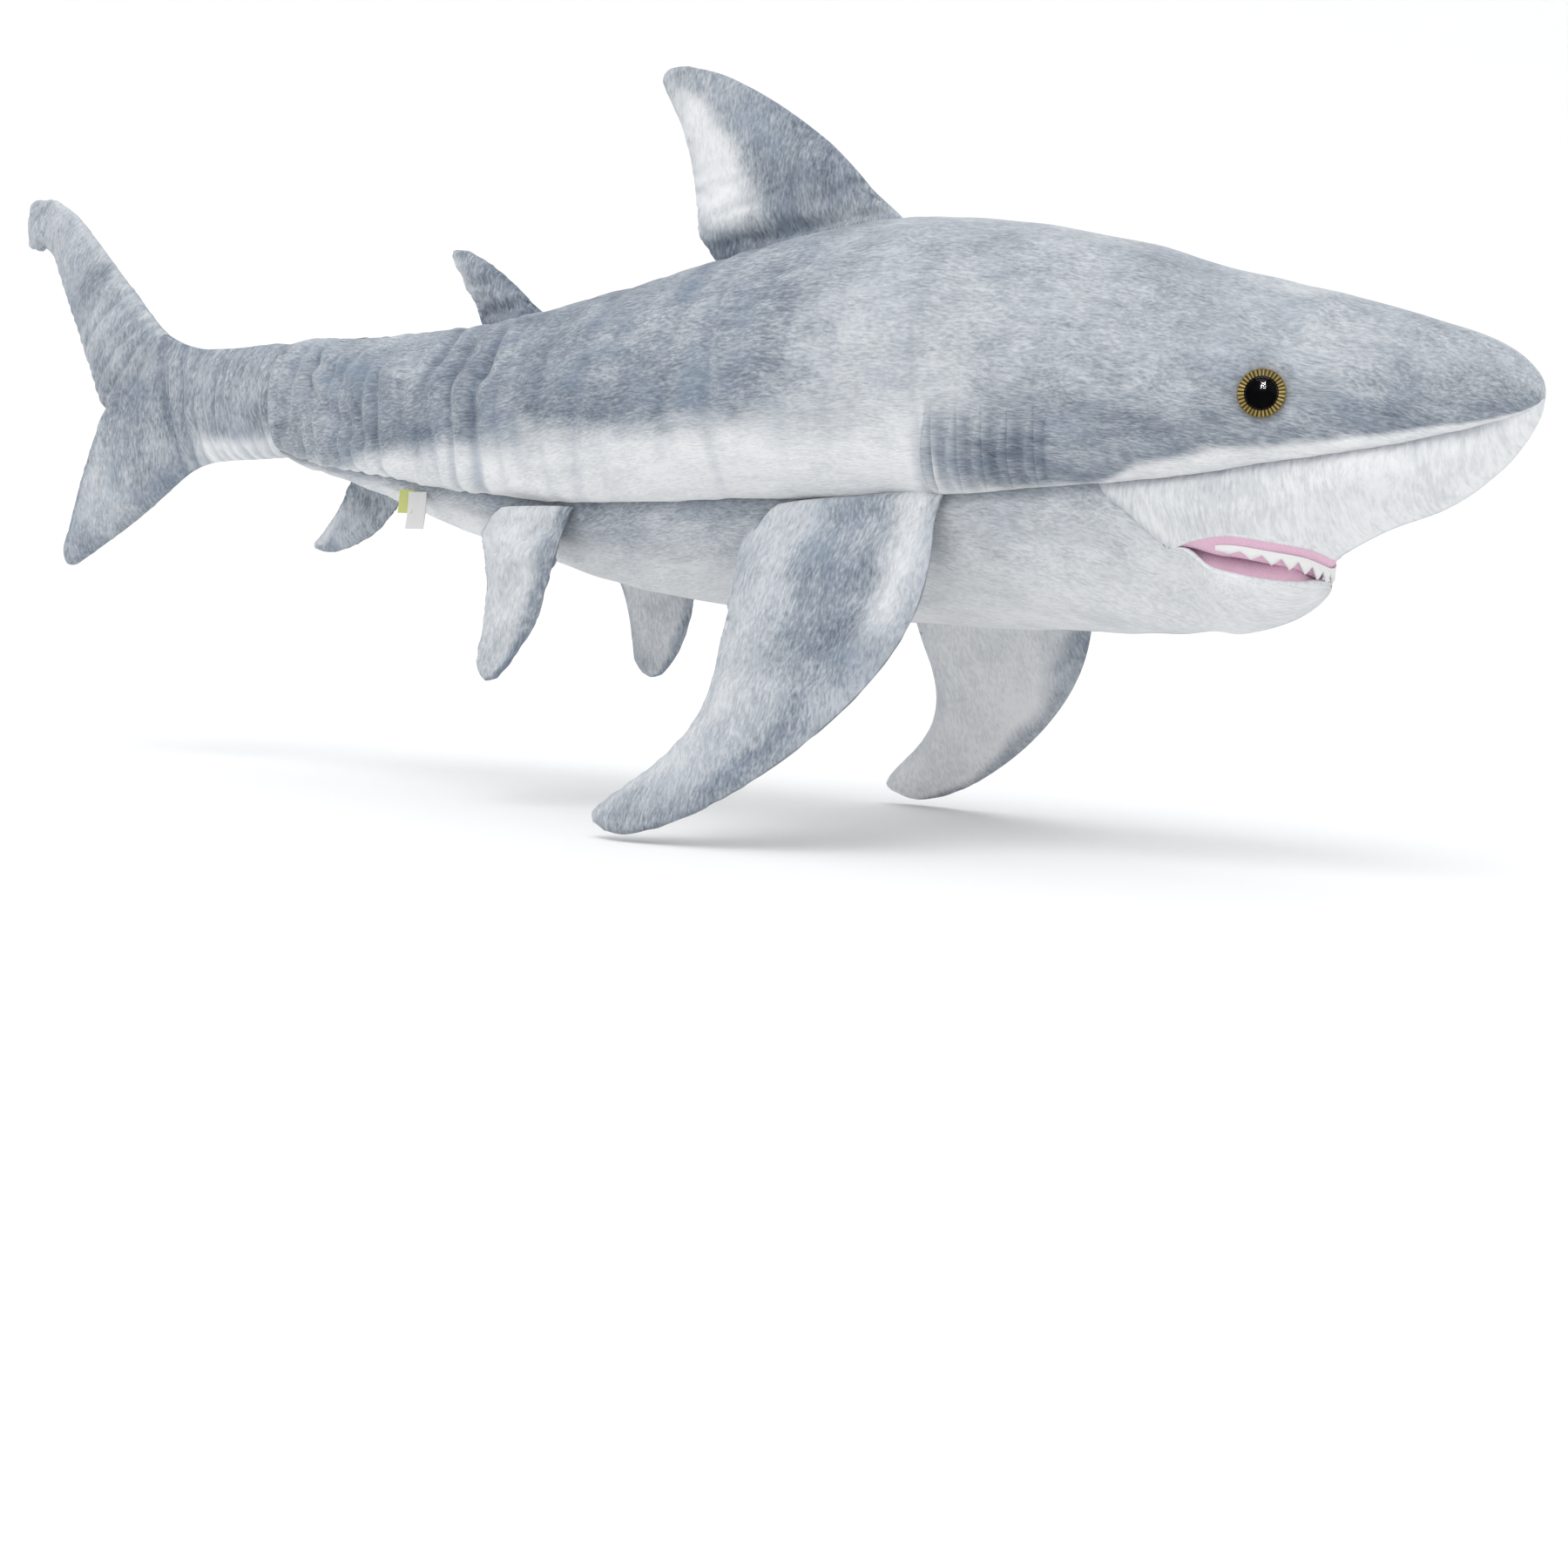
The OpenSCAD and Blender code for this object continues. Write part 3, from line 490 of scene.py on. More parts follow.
def skin(x, a, side):
    """Finished skin point of the trunk: section, swelling, seams, folds, gill tucks and eye hollow."""
    x, a, side = np.broadcast_arrays(np.asarray(x, float), np.asarray(a, float), np.asarray(side, float))
    q = station(x)
    p = section(x, a)
    p[..., 1] *= side
    taper = smooth(x, TAIL_SEAM_X + 4, TAIL_SEAM_X + TAIL_TAPER)
    near_nose = smooth(NOSE_X - x, 2, 60)
    p = p + cubic(swelling, x_row(x), way_col(a) * side + LAST_COL) * (taper * near_nose)[..., None]
    centre = np.stack([x, 0 * x, 0.4 * q[..., TOP] + 0.4 * q[..., UNDER]], -1)
    out = p - centre
    out /= np.maximum(np.linalg.norm(out, axis=-1, keepdims=True), 1e-6)
    slack = behind_nose(x)
    seam_far = np.abs(side_seam_far(x, a))
    depth = 0.9 * bell(seam_far - 7, 5.0) * slack * taper
    puckers = noise_at(x / 7, 0 * x, side * 3, 3.7)
    depth = depth + 0.5 * puckers * bell(seam_far, 7) * slack
    depth = depth - side_fold_depth(x, a, side) - gill_depth(x, a) - seam_depth(x, a)
    depth = depth + (0.9 * noise(p, 42.0, 1.3) + 0.5 * noise(p, 17.0, 8.1)) * slack * (0.3 + 0.7 * taper)
    # cloth drawn in round the eye
    eye_far = np.hypot(x - EYE_X, p[..., 2] - EYE_Z)
    near_eye = (a < 2) & (eye_far < EYE_REACH)
    hollow = 0.8 * bell(eye_far - EYE_R - 6, 3.5) - 1.9 * fade(eye_far, EYE_R, EYE_R + 6)
    depth = depth + np.where(near_eye, hollow, 0)
    # rounded in at the tail seam, and closed at the nose
    end = np.clip((TAIL_SEAM_X + 5 - x) / 5, 0, 1)
    narrow = 1 - 0.05 * fade(x, TAIL_SEAM_X, TAIL_SEAM_X + 30) - 0.14 * end**2
    p = centre + (p - centre) * narrow[..., None]
    p = p + out * depth[..., None]
    nose = x > NOSE_X - NEAR
    return np.where(nose[..., None], NOSE_TIP, p)


# ---- colour: 1 is blue-grey pile, 0 is white pile ----
# columns: x, way round the section where the grey gives way to white, half width of the change
BAND = np.array([
    [-269, 1.95, 0.20], [-215, 1.72, 0.20], [-165, 1.42, 0.16], [-100, 1.30, 0.16], [-20, 1.2, 0.18],
    [80, 1.16, 0.20], [180, 1.12, 0.24], [226, 1.08, 0.22], [234, 1.70, 0.18], [285, 1.88, 0.12],
    [312, 1.86, 0.10], [332, 1.62, 0.10], [360, 1.52, 0.10], [390, 1.54, 0.10], [440, 1.60, 0.08],
    [480, 1.62, 0.08], [500, 1.6, 0.10],
])


def side_tone(x, a, p):
    """Grey back over white flanks; paler on the shoulder, the head's side and near the tail."""
    edge = np.interp(x, BAND[:, 0], BAND[:, 1])
    soft = np.interp(x, BAND[:, 0], BAND[:, 2])
    ragged = 0.10 * noise(p, 30.0, 2.2) + 0.03 * noise(p, 9.0, 5.5)
    grey = fade(a + ragged, edge - soft, edge + soft)
    faded = 0.30 * smooth(a, 0.55, 1.1) * smooth(x, 130, 195) * fade(x, 225, 290)
    faded = faded + 0.20 * fade(x, -250, -150)
    faded = faded + 0.36 * fade(a, 0.6, 1.5) * smooth(x, 100, 200)
    under = 0.16 * smooth(a, 1.75, 1.95) * fade(x, -60, 60)
    return np.clip(grey * (1 - faded) + under + 0.05, 0, 1)


def belly_tone(x, a, p):
    """Belly cloth: grey under the side seam, partly the cloth's own grey and partly painted shadow from the
    side's bulge over it, fading to white along the middle.
    """
    ragged = 0.12 * noise(p, 45.0, 4.4)
    # partly painted shadow: the grey next to the side seam also stands for the shadow of the side's bulge
    near_seam = fade(a + ragged, 2.0, 2.55)
    middle = fade(a + ragged, 2.2, 2.95)
    throat = smooth(x, 150, 260)
    return np.clip(near_seam * (0.60 - 0.20 * throat) + 0.20 * middle + 0.04, 0, 1)


def snout_tone(x, a, p):
    """White, a little grey near the mouth's corner."""
    near_corner = fade(x, 345, 440)
    near_seam = fade(a, 2.0, 2.5)
    return np.clip(0.22 * near_corner * (0.4 + 0.6 * near_seam) + 0.02 + 0.04 * noise(p, 25.0, 6.4), 0, 1)


def trunk_attributes(x, a, side, points, tone):
    """Tone, shade in the folds, and the pile's own coordinates: along the body, round it, and the height."""
    round_far = a * side * station(x)[..., HALF] * 1.3
    pile = np.stack([x * MM, round_far * MM, points[..., 2] * MM], -1)
    return {"tone": tone.ravel(), "crease": crease(x, a, side).ravel(), "pile": pile.reshape(-1, 3)}


def trunk_piece(name, x, a, side, tone_of, turn):
    """Mesh of the trunk's skin over a grid of places along and ways round."""
    points = skin(x, a, side)
    faces = grid_faces(*points.shape[:2], turn=turn)
    data = trunk_attributes(x, a, side, points, tone_of(x, a, points))
    return add_mesh(name, points.reshape(-1, 3), faces, data)


FINE = 0.4  # part of a trunk row or column between fine points
SIDES = (("left", 1), ("right", -1))


def side_skins():
    """Side panels' cloth, from the back seam to the side seam."""
    for name, side in SIDES:
        r = np.append(np.arange(0, LAST_ROW + NEAR, FINE), LAST_ROW)
        c = np.linspace(1e-3, BACK_COLS, int(BACK_COLS / FINE) + 1)
        r, c = crossed(r, c)
        sign = np.full(r.shape, float(side))
        made = trunk_piece(name + "_side_skin", row_x(r), col_way(c), sign, side_tone, turn=side > 0)
        finish_piece(made, "body", plush_dark, [name + "_side_panel"])


def belly_skin():
    """Belly cloth, from the throat seam to the tail seam, with one column on the mouth's corner."""
    share = np.linspace(0, 1, int((LAST_ROW - x_row(MOUTH_X)) / FINE))
    c = np.linspace(BACK_COLS, LAST_COL, int(BELLY_COLS / FINE) + 1)
    c = np.sort(np.append(c, way_col(CORNER_WAY)))
    ring = np.concatenate([c, 2 * LAST_COL - c[-2::-1]])
    share, ring = crossed(share, ring)
    side = side_of(LAST_COL - ring)
    a = col_way(LAST_COL - np.abs(ring - LAST_COL))
    front = throat_x(a)
    x = front + (TAIL_SEAM_X - front) * share
    made = trunk_piece("belly_skin", x, a, side, belly_tone, turn=True)
    finish_piece(made, "body", plush_pale, ["belly_panel", "body_stuffing"])


# ---- mouth ----
def lip_x(y):
    """Place along the trunk where the upper lip has the half width y."""
    return MOUTH_X + MOUTH_LEN * np.maximum(0, 1 - (np.abs(y) / LIP_HALF) ** 2) ** (1 / LIP_POW)


def lip_y(x):
    """Half width of the upper lip at x."""
    return LIP_HALF * np.sqrt(np.maximum(0, 1 - np.clip((x - MOUTH_X) / MOUTH_LEN, 0, 1) ** LIP_POW))


def lip_share(x, y):
    """Angle share from the side seam down to half width y."""
    q = station(x)
    return 2 / np.pi * np.arccos(np.clip(np.abs(y) / q[..., SEAM], 0, 1) ** (q[..., FULL] / 2))


CORNER_SHARE = float(lip_share(np.array(MOUTH_X), LIP_HALF - 0.1))
CORNER_WAY = 2 + CORNER_SHARE


def throat_x(a):
    """Front edge of the belly cloth: at the mouth corners, slanting back up to the side seam."""
    return MOUTH_X - THROAT_SLANT * np.clip((CORNER_WAY - a) / CORNER_SHARE, 0, 1)


def inward(curve):
    """Level directions that point into the mouth, along a lip curve from one corner to the other."""
    along_lip = np.gradient(curve, axis=0)
    n = np.stack([-along_lip[:, 1], along_lip[:, 0], 0 * along_lip[:, 0]], -1)
    n /= np.maximum(np.linalg.norm(n, axis=1, keepdims=True), 1e-6)
    middle = curve[len(curve) // 2]
    if n[len(curve) // 2] @ (np.array([MOUTH_X, 0, middle[2]]) - middle) < 0:
        n = -n
    return n


def upper_lip(count=121, inset=0.0):
    """Upper lip line from the left mouth corner round the front to the right one, inset into the mouth."""
    turn = np.linspace(-np.pi / 2, np.pi / 2, count)
    y = -LIP_HALF * np.sin(turn)
    x = lip_x(y)
    p = skin(x, 2 + lip_share(x, y), side_of(y))
    k = 1 - inset / LIP_HALF
    return np.stack([MOUTH_X + (p[:, 0] - MOUTH_X) * k, p[:, 1] * k, p[:, 2]], -1)


def with_rolled_lip(points, faces, data, lip, radius, last_turn, steps, rise, turn):
    """Adds the strip of cloth that turns in along a lip to a skin's points, faces and attributes."""
    into = inward(lip)
    up = np.array([0, 0, rise])
    strip = np.stack([
        lip + into * radius * (1 - math.cos(angle)) + up * radius * math.sin(angle)
        for angle in np.linspace(0, math.radians(last_turn), steps)
    ])
    points, strip_points = points.reshape(-1, 3), strip.reshape(-1, 3)
    faces = faces + grid_faces(*strip.shape[:2], start=len(points), turn=turn)
    plain = np.zeros(len(strip_points))
    own = {"tone": plain + 0.1, "crease": plain, "pile": strip_points * MM}
    joined = {key: np.concatenate([data[key], own[key]]) for key in own}
    return np.concatenate([points, strip_points]), faces, joined


# the snout's grid: half its columns, columns over the lip, rows before the lip and beside the mouth
SNOUT_HALF, LIP_COLS, FRONT_ROWS, FLAP_ROWS, CORNER_Y = 6.0, 3.0, 9.0, 5.0, 25.0
FRONT_LINES, FLAP_LINES, SNOUT_COLS = 64, 43, 97


def snout_cell(i, m):
    """Place along and share round for a row of the snout's grid, m columns from its middle."""
    flap_x = float(lip_x(CORNER_Y))
    flap_share = float(lip_share(np.array(flap_x), CORNER_Y))
    # in front of the lip: from the nose to the lip's edge, and to the flap's edge beside it
    y = CORNER_Y * np.minimum(m, LIP_COLS) / LIP_COLS
    over_lip = m <= LIP_COLS
    flap = flap_share * (SNOUT_HALF - m) / (SNOUT_HALF - LIP_COLS)
    edge_x = np.where(over_lip, lip_x(y), flap_x)
    edge_t = np.where(over_lip, lip_share(lip_x(y), y), flap)
    f = np.minimum(i, FRONT_ROWS) / FRONT_ROWS
    g = 1 - m / SNOUT_HALF
    front_x = NOSE_X - (NOSE_X - edge_x) * f * f
    front_t = g + (edge_t - g) * f
    # beside the mouth: on to its corner, and to the slanting throat seam
    along_lip = (i - FRONT_ROWS) / FLAP_ROWS
    out = np.clip((m - LIP_COLS) / (SNOUT_HALF - LIP_COLS), 0, 1)
    x_lip = flap_x + (MOUTH_X - flap_x) * along_lip
    back_x = flap_x + (MOUTH_X - THROAT_SLANT * out - flap_x) * along_lip
    back_t = lip_share(x_lip, np.minimum(lip_y(x_lip), LIP_HALF - 0.1)) * (1 - out)
    in_front = i <= FRONT_ROWS
    return np.where(in_front, front_x, back_x), np.where(in_front, front_t, back_t)


def snout_skin():
    """Snout's underside: one sheet that reaches the upper lip, with a flap past each mouth corner."""
    flap_rows = np.linspace(FRONT_ROWS, FRONT_ROWS + FLAP_ROWS, FLAP_LINES + 1)[1:]
    i = np.concatenate([np.linspace(0, FRONT_ROWS, FRONT_LINES), flap_rows])
    j = np.linspace(-SNOUT_HALF, SNOUT_HALF, SNOUT_COLS)
    ii, jj = crossed(i, j)
    x, t = snout_cell(ii, np.abs(jj))
    side = side_of(jj)
    a = 2 + np.clip(t, 0, 1)
    points = skin(x, a, side)

    def keep(row, col):
        beside_mouth = abs(j[col]) >= LIP_COLS and abs(j[col + 1]) >= LIP_COLS
        return i[row] < FRONT_ROWS - NEAR or beside_mouth

    faces = grid_faces(*ii.shape, keep=keep)
    data = trunk_attributes(x, a, side, points, snout_tone(x, a, points))
    lip = upper_lip()
    made = add_mesh("snout_skin", *with_rolled_lip(
        points, faces, data, lip, radius=1.3, last_turn=200, steps=7, rise=-1.0, turn=True))
    finish_piece(made, "body", plush_snout, ["snout_panel"])


# columns: x, half width at the lip, height of the lip, height of the chin
JAW = np.array([
    [342, 42, -75, -113], [351, 40.5, -79.5, -113.5], [362, 38, -83.5, -113], [375, 34.5, -86.5, -110.5],
    [388, 28.5, -88.5, -106], [398, 18.5, -89, -100], [404, 10, -88, -94.5], [407.5, 0.8, -88, -90.5],
])
JAW_FRONT = 407.5
JAW_TIP = np.array([JAW_FRONT + 0.3, 0, -89.2])
JAW_ROWS, JAW_COLS = 46, 61


def jaw_way(v):
    """Way round the trunk section of the jaw's cloth, from the lip to the belly line."""
    return CORNER_WAY + (1 - CORNER_SHARE) * (1 - np.abs(v))


def jaw_section(x, v):
    """Jaw cloth at x: v runs -1 to 1 from the right lip under the chin to the left lip."""
    half, lip_z, under = np.moveaxis(along(JAW[:, 0], JAW[:, 1:], x), -1, 0)
    m = 1.6 + 0.3 * (x - MOUTH_X) / (JAW_FRONT - MOUTH_X)
    r = np.pi / 2 * np.abs(v)
    y = half * np.sin(r) ** (2 / m)
    z = lip_z + (under - lip_z) * np.cos(r).clip(0) ** (2 / m)
    jaw = np.stack([x, y * np.sign(v), z], -1)
    throat = skin(x, jaw_way(v), side_of(v))
    w = smooth(x, MOUTH_X, MOUTH_X + 22)[..., None]
    p = throat * (1 - w) + jaw * w
    p[..., 2] += 0.5 * noise(p, 16.0, 7.7) * w[..., 0]
    front = x > JAW_FRONT - NEAR
    return np.where(front[..., None], JAW_TIP, p)


def jaw_skin():
    """Jaw's cloth, from the throat to the lower lip."""
    x = JAW_FRONT - (JAW_FRONT - MOUTH_X) * np.linspace(1, 0, JAW_ROWS) ** 1.4
    v = np.linspace(-1, 1, JAW_COLS)
    xx, vv = crossed(x, v)
    points = jaw_section(xx, vv)
    way, side = jaw_way(vv), side_of(vv)
    own = smooth(xx, MOUTH_X, MOUTH_X + 40)
    tone = belly_tone(xx, way, points) * (1 - own) + own * (0.10 + 0.10 * noise(points, 20.0, 3.3))
    data = trunk_attributes(xx, way, side, points, np.clip(tone, 0, 1))
    faces = grid_faces(*xx.shape)
    lip = np.concatenate([points[:, -1], points[::-1, 0]])
    radius = 1.8 * smooth(lip[:, 0], MOUTH_X, MOUTH_X + 12)[:, None] + 0.3
    made = add_mesh("jaw_skin", *with_rolled_lip(
        points, faces, data, lip, radius, last_turn=210, steps=8, rise=1.0, turn=False))
    finish_piece(made, None, plush_pale, ["jaw_panel", "jaw_stuffing"])
    jaw_blend(made)


def blend_over(piece, start, end):
    """Bakes a piece's placement into its points; start and end, points of the drawing frame on the joint
    between two bodies, are worked out but not used.
    """
    start, end = (tuple((np.array(point) + ORIGIN) * MM) for point in (start, end))
    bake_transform(piece)


def jaw_blend(piece):
    """Bakes a piece's placement into its points, passing the jaw's hinge behind the mouth's corner as the
    joint.
    """
    blend_over(piece, (MOUTH_X + 0.5, 0, 0), (MOUTH_X + 27, 0, 0))


def plain_mesh(name, grid):
    """Mesh of a grid of points whose pile follows the points themselves."""
    points = grid.reshape(-1, 3)
    return add_mesh(name, points, grid_faces(*grid.shape[:2], turn=True), {"pile": points * MM})


def mouth_roof():
    """Pink lining: a plain band down from the upper lip, then the arched palate."""
    band_profile = [  # inset from the lip, rise
        (0.6, 0.6), (1.2, -1.6), (2.0, -4), (2.8, -6.5), (3.8, -9),
        (5.6, -10.4), (7.6, -9.4), (9.5, -5), (12, 0),
    ]
    rings = []
    for inset, rise in band_profile:
        ring = upper_lip(inset=inset)
        ring[:, 2] += rise * (0.1 + 0.9 * smooth(ring[:, 0], MOUTH_X, MOUTH_X + 26))
        rings.append(ring)
    edge = rings[-1]
    back_x, arch = MOUTH_X - 3, 6.5
    for k in np.linspace(0.85, 0.05, 9):
        ring = edge.copy()
        ring[:, 1] *= k
        ring[:, 0] = back_x + (edge[:, 0] - back_x) * (0.35 + 0.65 * k)
        ring[:, 2] = edge[:, 2] + arch * (1 - k**2)
        rings.append(ring)
    made = plain_mesh("mouth_roof", np.stack(rings, 0))
    finish_piece(made, "body", lining_cloth, ["palate_lining"])


def mouth_floor():
    """Pink lining over the jaw, swelling up behind the lower lip."""
    x = np.linspace(MOUTH_X + 7, 405.5, 36)
    f = np.linspace(-1, 1, 41)
    xx, ff = crossed(x, f)
    lip_half, lip_z, _ = np.moveaxis(along(JAW[:, 0], JAW[:, 1:], xx), -1, 0)
    half = np.maximum(lip_half - 2.4 - 2.0 * fade(xx, MOUTH_X + 7, MOUTH_X + 20), 0.3)
    front = fade(xx, 392, 405)
    rise = 12.5 * (1 - np.abs(ff) ** 8) * front * smooth(half, 1, 12)
    grid = np.stack([np.minimum(xx, 404.5), half * ff, lip_z - 1.0 + rise], -1)
    made = plain_mesh("mouth_floor", grid)
    finish_piece(made, None, lining_cloth, ["jaw_lining"])
    jaw_blend(made)


def teeth():
    """White felt strip with cut points, stitched on the band under the upper lip."""
    count, band, tip, top, thick = 14, 2.2, 5.2, -5.4, 1.2
    cells = 2 * count * 4
    line = upper_lip(241, inset=1.6)
    keep = np.linspace(0.09, 0.91, cells + 1) * (len(line) - 1)
    at = np.stack([np.interp(keep, np.arange(len(line)), line[:, k]) for k in range(3)], -1)
    phase = np.arange(cells + 1) / 4.0
    saw = 1 - np.abs(phase % 2 - 1)
    near_end = np.sqrt(np.sin(np.pi * np.clip(np.arange(cells + 1) / cells, 0.02, 0.98)))
    uneven = 1 + 0.12 * noise_at(np.floor(phase / 2), 0, 0, 2.6)
    into = inward(at)
    rows = []
    for depth in (0.0, thick):
        for share in (0.0, 0.5, 1.0):
            low = band + tip * saw * near_end * uneven
            drop = top - share * low + (0 if share else 0.2)
            rows.append(at + into * (depth + 0.5 * share) + np.stack([0 * drop, 0 * drop, drop], -1))
    made = plain_mesh("teeth", np.stack([rows[k] for k in (0, 1, 2, 5, 4, 3, 0)], 0))
    finish_piece(made, "body", felt, ["teeth_strip"])


# ---- gill tucks ----
def gill_tucks():
    """Standing folds of side cloth, one for each gill."""
    around = np.linspace(0, np.pi, 11)
    way = np.linspace(1.04, 1.93, 48)
    length = np.linspace(0, 1, 48)
    share = np.sin(np.pi * (0.02 + 0.96 * length)) ** 0.6
    bow = GILL_BOW * np.sin(np.pi * length)
    for name, side in SIDES:
        parts, faces, data = [], [], []
        for g in range(GILL_COUNT):
            half = 2.9 * share * rng.uniform(0.85, 1.15)
            columns = []
            for f in around:
                x = GILL_X + GILL_PITCH * g - half * np.cos(f) - bow
                p = skin(x, way, side)
                p[:, 1] += side * (2.3 * np.sin(f) ** 0.8 * share - 0.6)
                p[:, 0] -= 1.6 * np.sin(f) * share
                columns.append(p)
            grid = np.stack(columns, 1)
            faces += grid_faces(*grid.shape[:2], start=g * grid[..., 0].size, turn=side < 0)
            ways = np.repeat(way[:, None], len(around), 1)
            tone = side_tone(np.maximum(grid[..., 0], GILL_X + 5), ways, grid)
            one = trunk_attributes(grid[..., 0], ways, side + 0 * ways, grid, tone)
            # painted shade along both edges of each tuck, where it folds against the side cloth
            one["crease"] = np.repeat(0.75 * np.abs(np.cos(around))[None] ** 2, len(way), 0).ravel()
            data.append(one)
            parts.append(grid.reshape(-1, 3))
        joined = {key: np.concatenate([one[key] for one in data]) for key in data[0]}
        made = add_mesh(name + "_gill_tucks", np.concatenate(parts), faces, joined)
        finish_piece(made, "body", plush_dark, [name + "_gill_pleats"])


# ---- fins ----
def fin_direction(slope, drift):
    """Direction down and out at a slope in degrees, drifting along the body."""
    slope = math.radians(slope)
    return np.array([drift, math.sin(slope), -math.cos(slope)])


# columns: leading edge (along, across), trailing edge (along, across), half thickness
DORSAL = [
    [160, 99.8, 44, 80.5, 5.5], [150, 110, 35, 88, 8], [137, 123, 33, 99, 9], [121, 137, 32, 112, 9],
    [103, 149.5, 29, 126, 8.5], [84, 161, 25, 140, 7.5], [65, 171, 19, 154, 6.5], [45, 179.5, 12, 166, 5.4],
    [27, 184, 7, 175, 4.2], [15, 186, 5.5, 181, 3],
]
SECOND = [
    [-76, 57.5, -120, 52.5, 4.5], [-86, 67, -124, 60, 5.8], [-99, 76, -131, 69, 6], [-114, 85, -138, 79, 5.5],
    [-130, 92, -144, 88, 3.6], [-138, 94, -146, 91.5, 2.6],
]
ANAL = [
    [-178, -60, -222, -49.5, 4.5], [-186, -69, -227, -58, 5.8], [-197, -78, -233, -66, 6],
    [-211, -85, -240, -74, 5.5], [-228, -90, -248, -82, 3.6], [-240, -92, -254, -87, 2.6],
]
PECTORAL = [
    [1, 2.8, 102, 4, 5.5], [-4, 24, 114, 16, 8], [-6, 48, 114, 34, 9.8], [-3, 70, 110, 56, 10.5],
    [6, 92, 106, 78, 10.5], [19, 112, 103, 98, 10], [35, 130, 105, 116, 9], [54, 147, 112, 132, 8],
    [75, 162, 124, 146, 7], [98, 175, 139, 158, 5.6], [120, 183, 151, 168, 4.4], [140, 186, 158, 177, 3],
]
PELVIC = [
    [1, 2.8, 60, 3.5, 4.5], [2, 16, 70, 12, 6], [3, 32, 64, 26, 7], [6, 50, 57, 42, 6.6],
    [11, 68, 53, 58, 5.6], [19, 84, 51, 74, 4.4], [29, 96, 50, 87, 3.4], [36, 101, 48, 95, 2.6],
]
TAIL = [
    [-260, 30, -260, -24, 16], [-267, 37, -267, -29.5, 21.5], [-273, 40, -273, -32, 24.2],
    [-282, 40.5, -282, -32.5, 24.8], [-300, 38.5, -300, -33, 22.8], [-322, 36, -320, -33, 19.5],
    [-342, 35.5, -337, -34, 16.5], [-358, 40, -350, -40, 14.5], [-372, 47, -362, -50, 13],
    [-394, 23, -376, -62, 12], [-415, 0, -390, -72, 10.5], [-426, -22, -404, -82, 8.5],
    [-434, -46, -417, -91, 7], [-441, -70, -429, -99, 5.5], [-447, -90, -439, -105, 4],
    [-449.5, -99, -444, -106.5, 3],
]
LOBE = [
    [-362, 41, -409, -10, 9], [-375, 50.5, -420, -0.5, 10.5], [-387, 60, -428, 10, 11],
    [-406, 74, -440, 26, 10.5], [-427, 90, -455, 44, 9.5], [-448, 106, -470, 62, 8.5],
    [-468, 121, -485, 80, 7.5], [-487, 135, -499, 97, 6.8], [-505, 146, -512, 112, 6],
    [-521, 153, -523, 119, 4.6], [-527, 155, -529, 120, 3.4],
]
TIP = [
    [-522, 153, -524, 121, 3.6], [-527, 155.5, -529, 121, 4.6], [-537, 158, -540, 119, 6.4],
    [-547, 160, -550, 121, 6.8], [-557, 161.5, -560, 131, 6], [-566, 162, -567, 142, 4.4],
    [-572.5, 160.5, -573.5, 153, 2.6],
]
# side fins: front and rear of the root, direction from the root to the tip
SIDE_FINS = {
    "pectoral": ([235, 68.5, -54.5], [132, 66, -58.5], fin_direction(27, 0)),
    "pelvic": ([1, 61.7, -63.5], [-60, 52.7, -61.5], fin_direction(12, -0.04)),
}
TAIL_YAW, LOBE_LEAN, TIP_FOLD = 10.5, 22.0, 15.0
FOLD_TOP, FOLD_NOTCH, CREASE_X = np.array([-372, 0, 48.0]), np.array([-417, 0, -3.0]), -525.0


def unit(v):
    """The vector brought to length 1."""
    return v / np.linalg.norm(v)


def grown(s, reach):
    """0 before the start of a bend, growing to 1 past it."""
    return 1 - np.exp(-np.maximum(s, 0) / reach)


def turned(x, y, a):
    """A point turned by the angle a."""
    return x * np.cos(a) - y * np.sin(a), x * np.sin(a) + y * np.cos(a)


def yaw_tail(p):
    """Bends the tail to the left behind its seam."""
    x = p[..., 0] - TAIL_SEAM_X
    x, y = turned(x, p[..., 1], np.radians(TAIL_YAW) * grown(-x, 60))
    return np.stack([TAIL_SEAM_X + x, y, p[..., 2]], -1)


def lean_lobe(p):
    """Leans the upper lobe over at the fold between its top and the fork's notch."""
    fold_n = unit(FOLD_TOP - FOLD_NOTCH)
    fold_d = np.array([-fold_n[2], 0, fold_n[0]])
    v = p - FOLD_TOP
    s, h = v @ fold_d, v @ fold_n
    s, y = turned(s, p[..., 1], np.radians(LOBE_LEAN) * grown(s, 20))
    moved = FOLD_TOP + h[..., None] * fold_n + s[..., None] * fold_d
    moved[..., 1] += y
    return moved


def fold_tip(p):
    """Folds the lobe's end back at its crease."""
    x = p[..., 0] - CREASE_X
    x, y = turned(x, p[..., 1], -np.radians(TIP_FOLD) * grown(-x, 4))
    return np.stack([CREASE_X + x, y, p[..., 2]], -1)


def place_fin(kind, flat):
    """Puts a fin's own points (along, across, out of plane) in the drawing frame."""
    a, b, h = flat[..., 0:1], flat[..., 1:2], flat[..., 2:3]
    if kind in SIDE_FINS:
        root, rear, to_tip = (np.array(one) for one in SIDE_FINS[kind])
        e = unit(rear - root)
        s = unit(to_tip - (to_tip @ e) * e)
        tucked_in = np.minimum(b, 0) * np.array([0, 1.0, 0])
        return root + a * e + b * s + h * np.cross(s, e) + tucked_in
    p = np.concatenate([a, h, b], -1)
    if kind == "tail":
        return yaw_tail(p)
    if kind == "lobe":
        return yaw_tail(lean_lobe(fold_tip(p)))
    return p


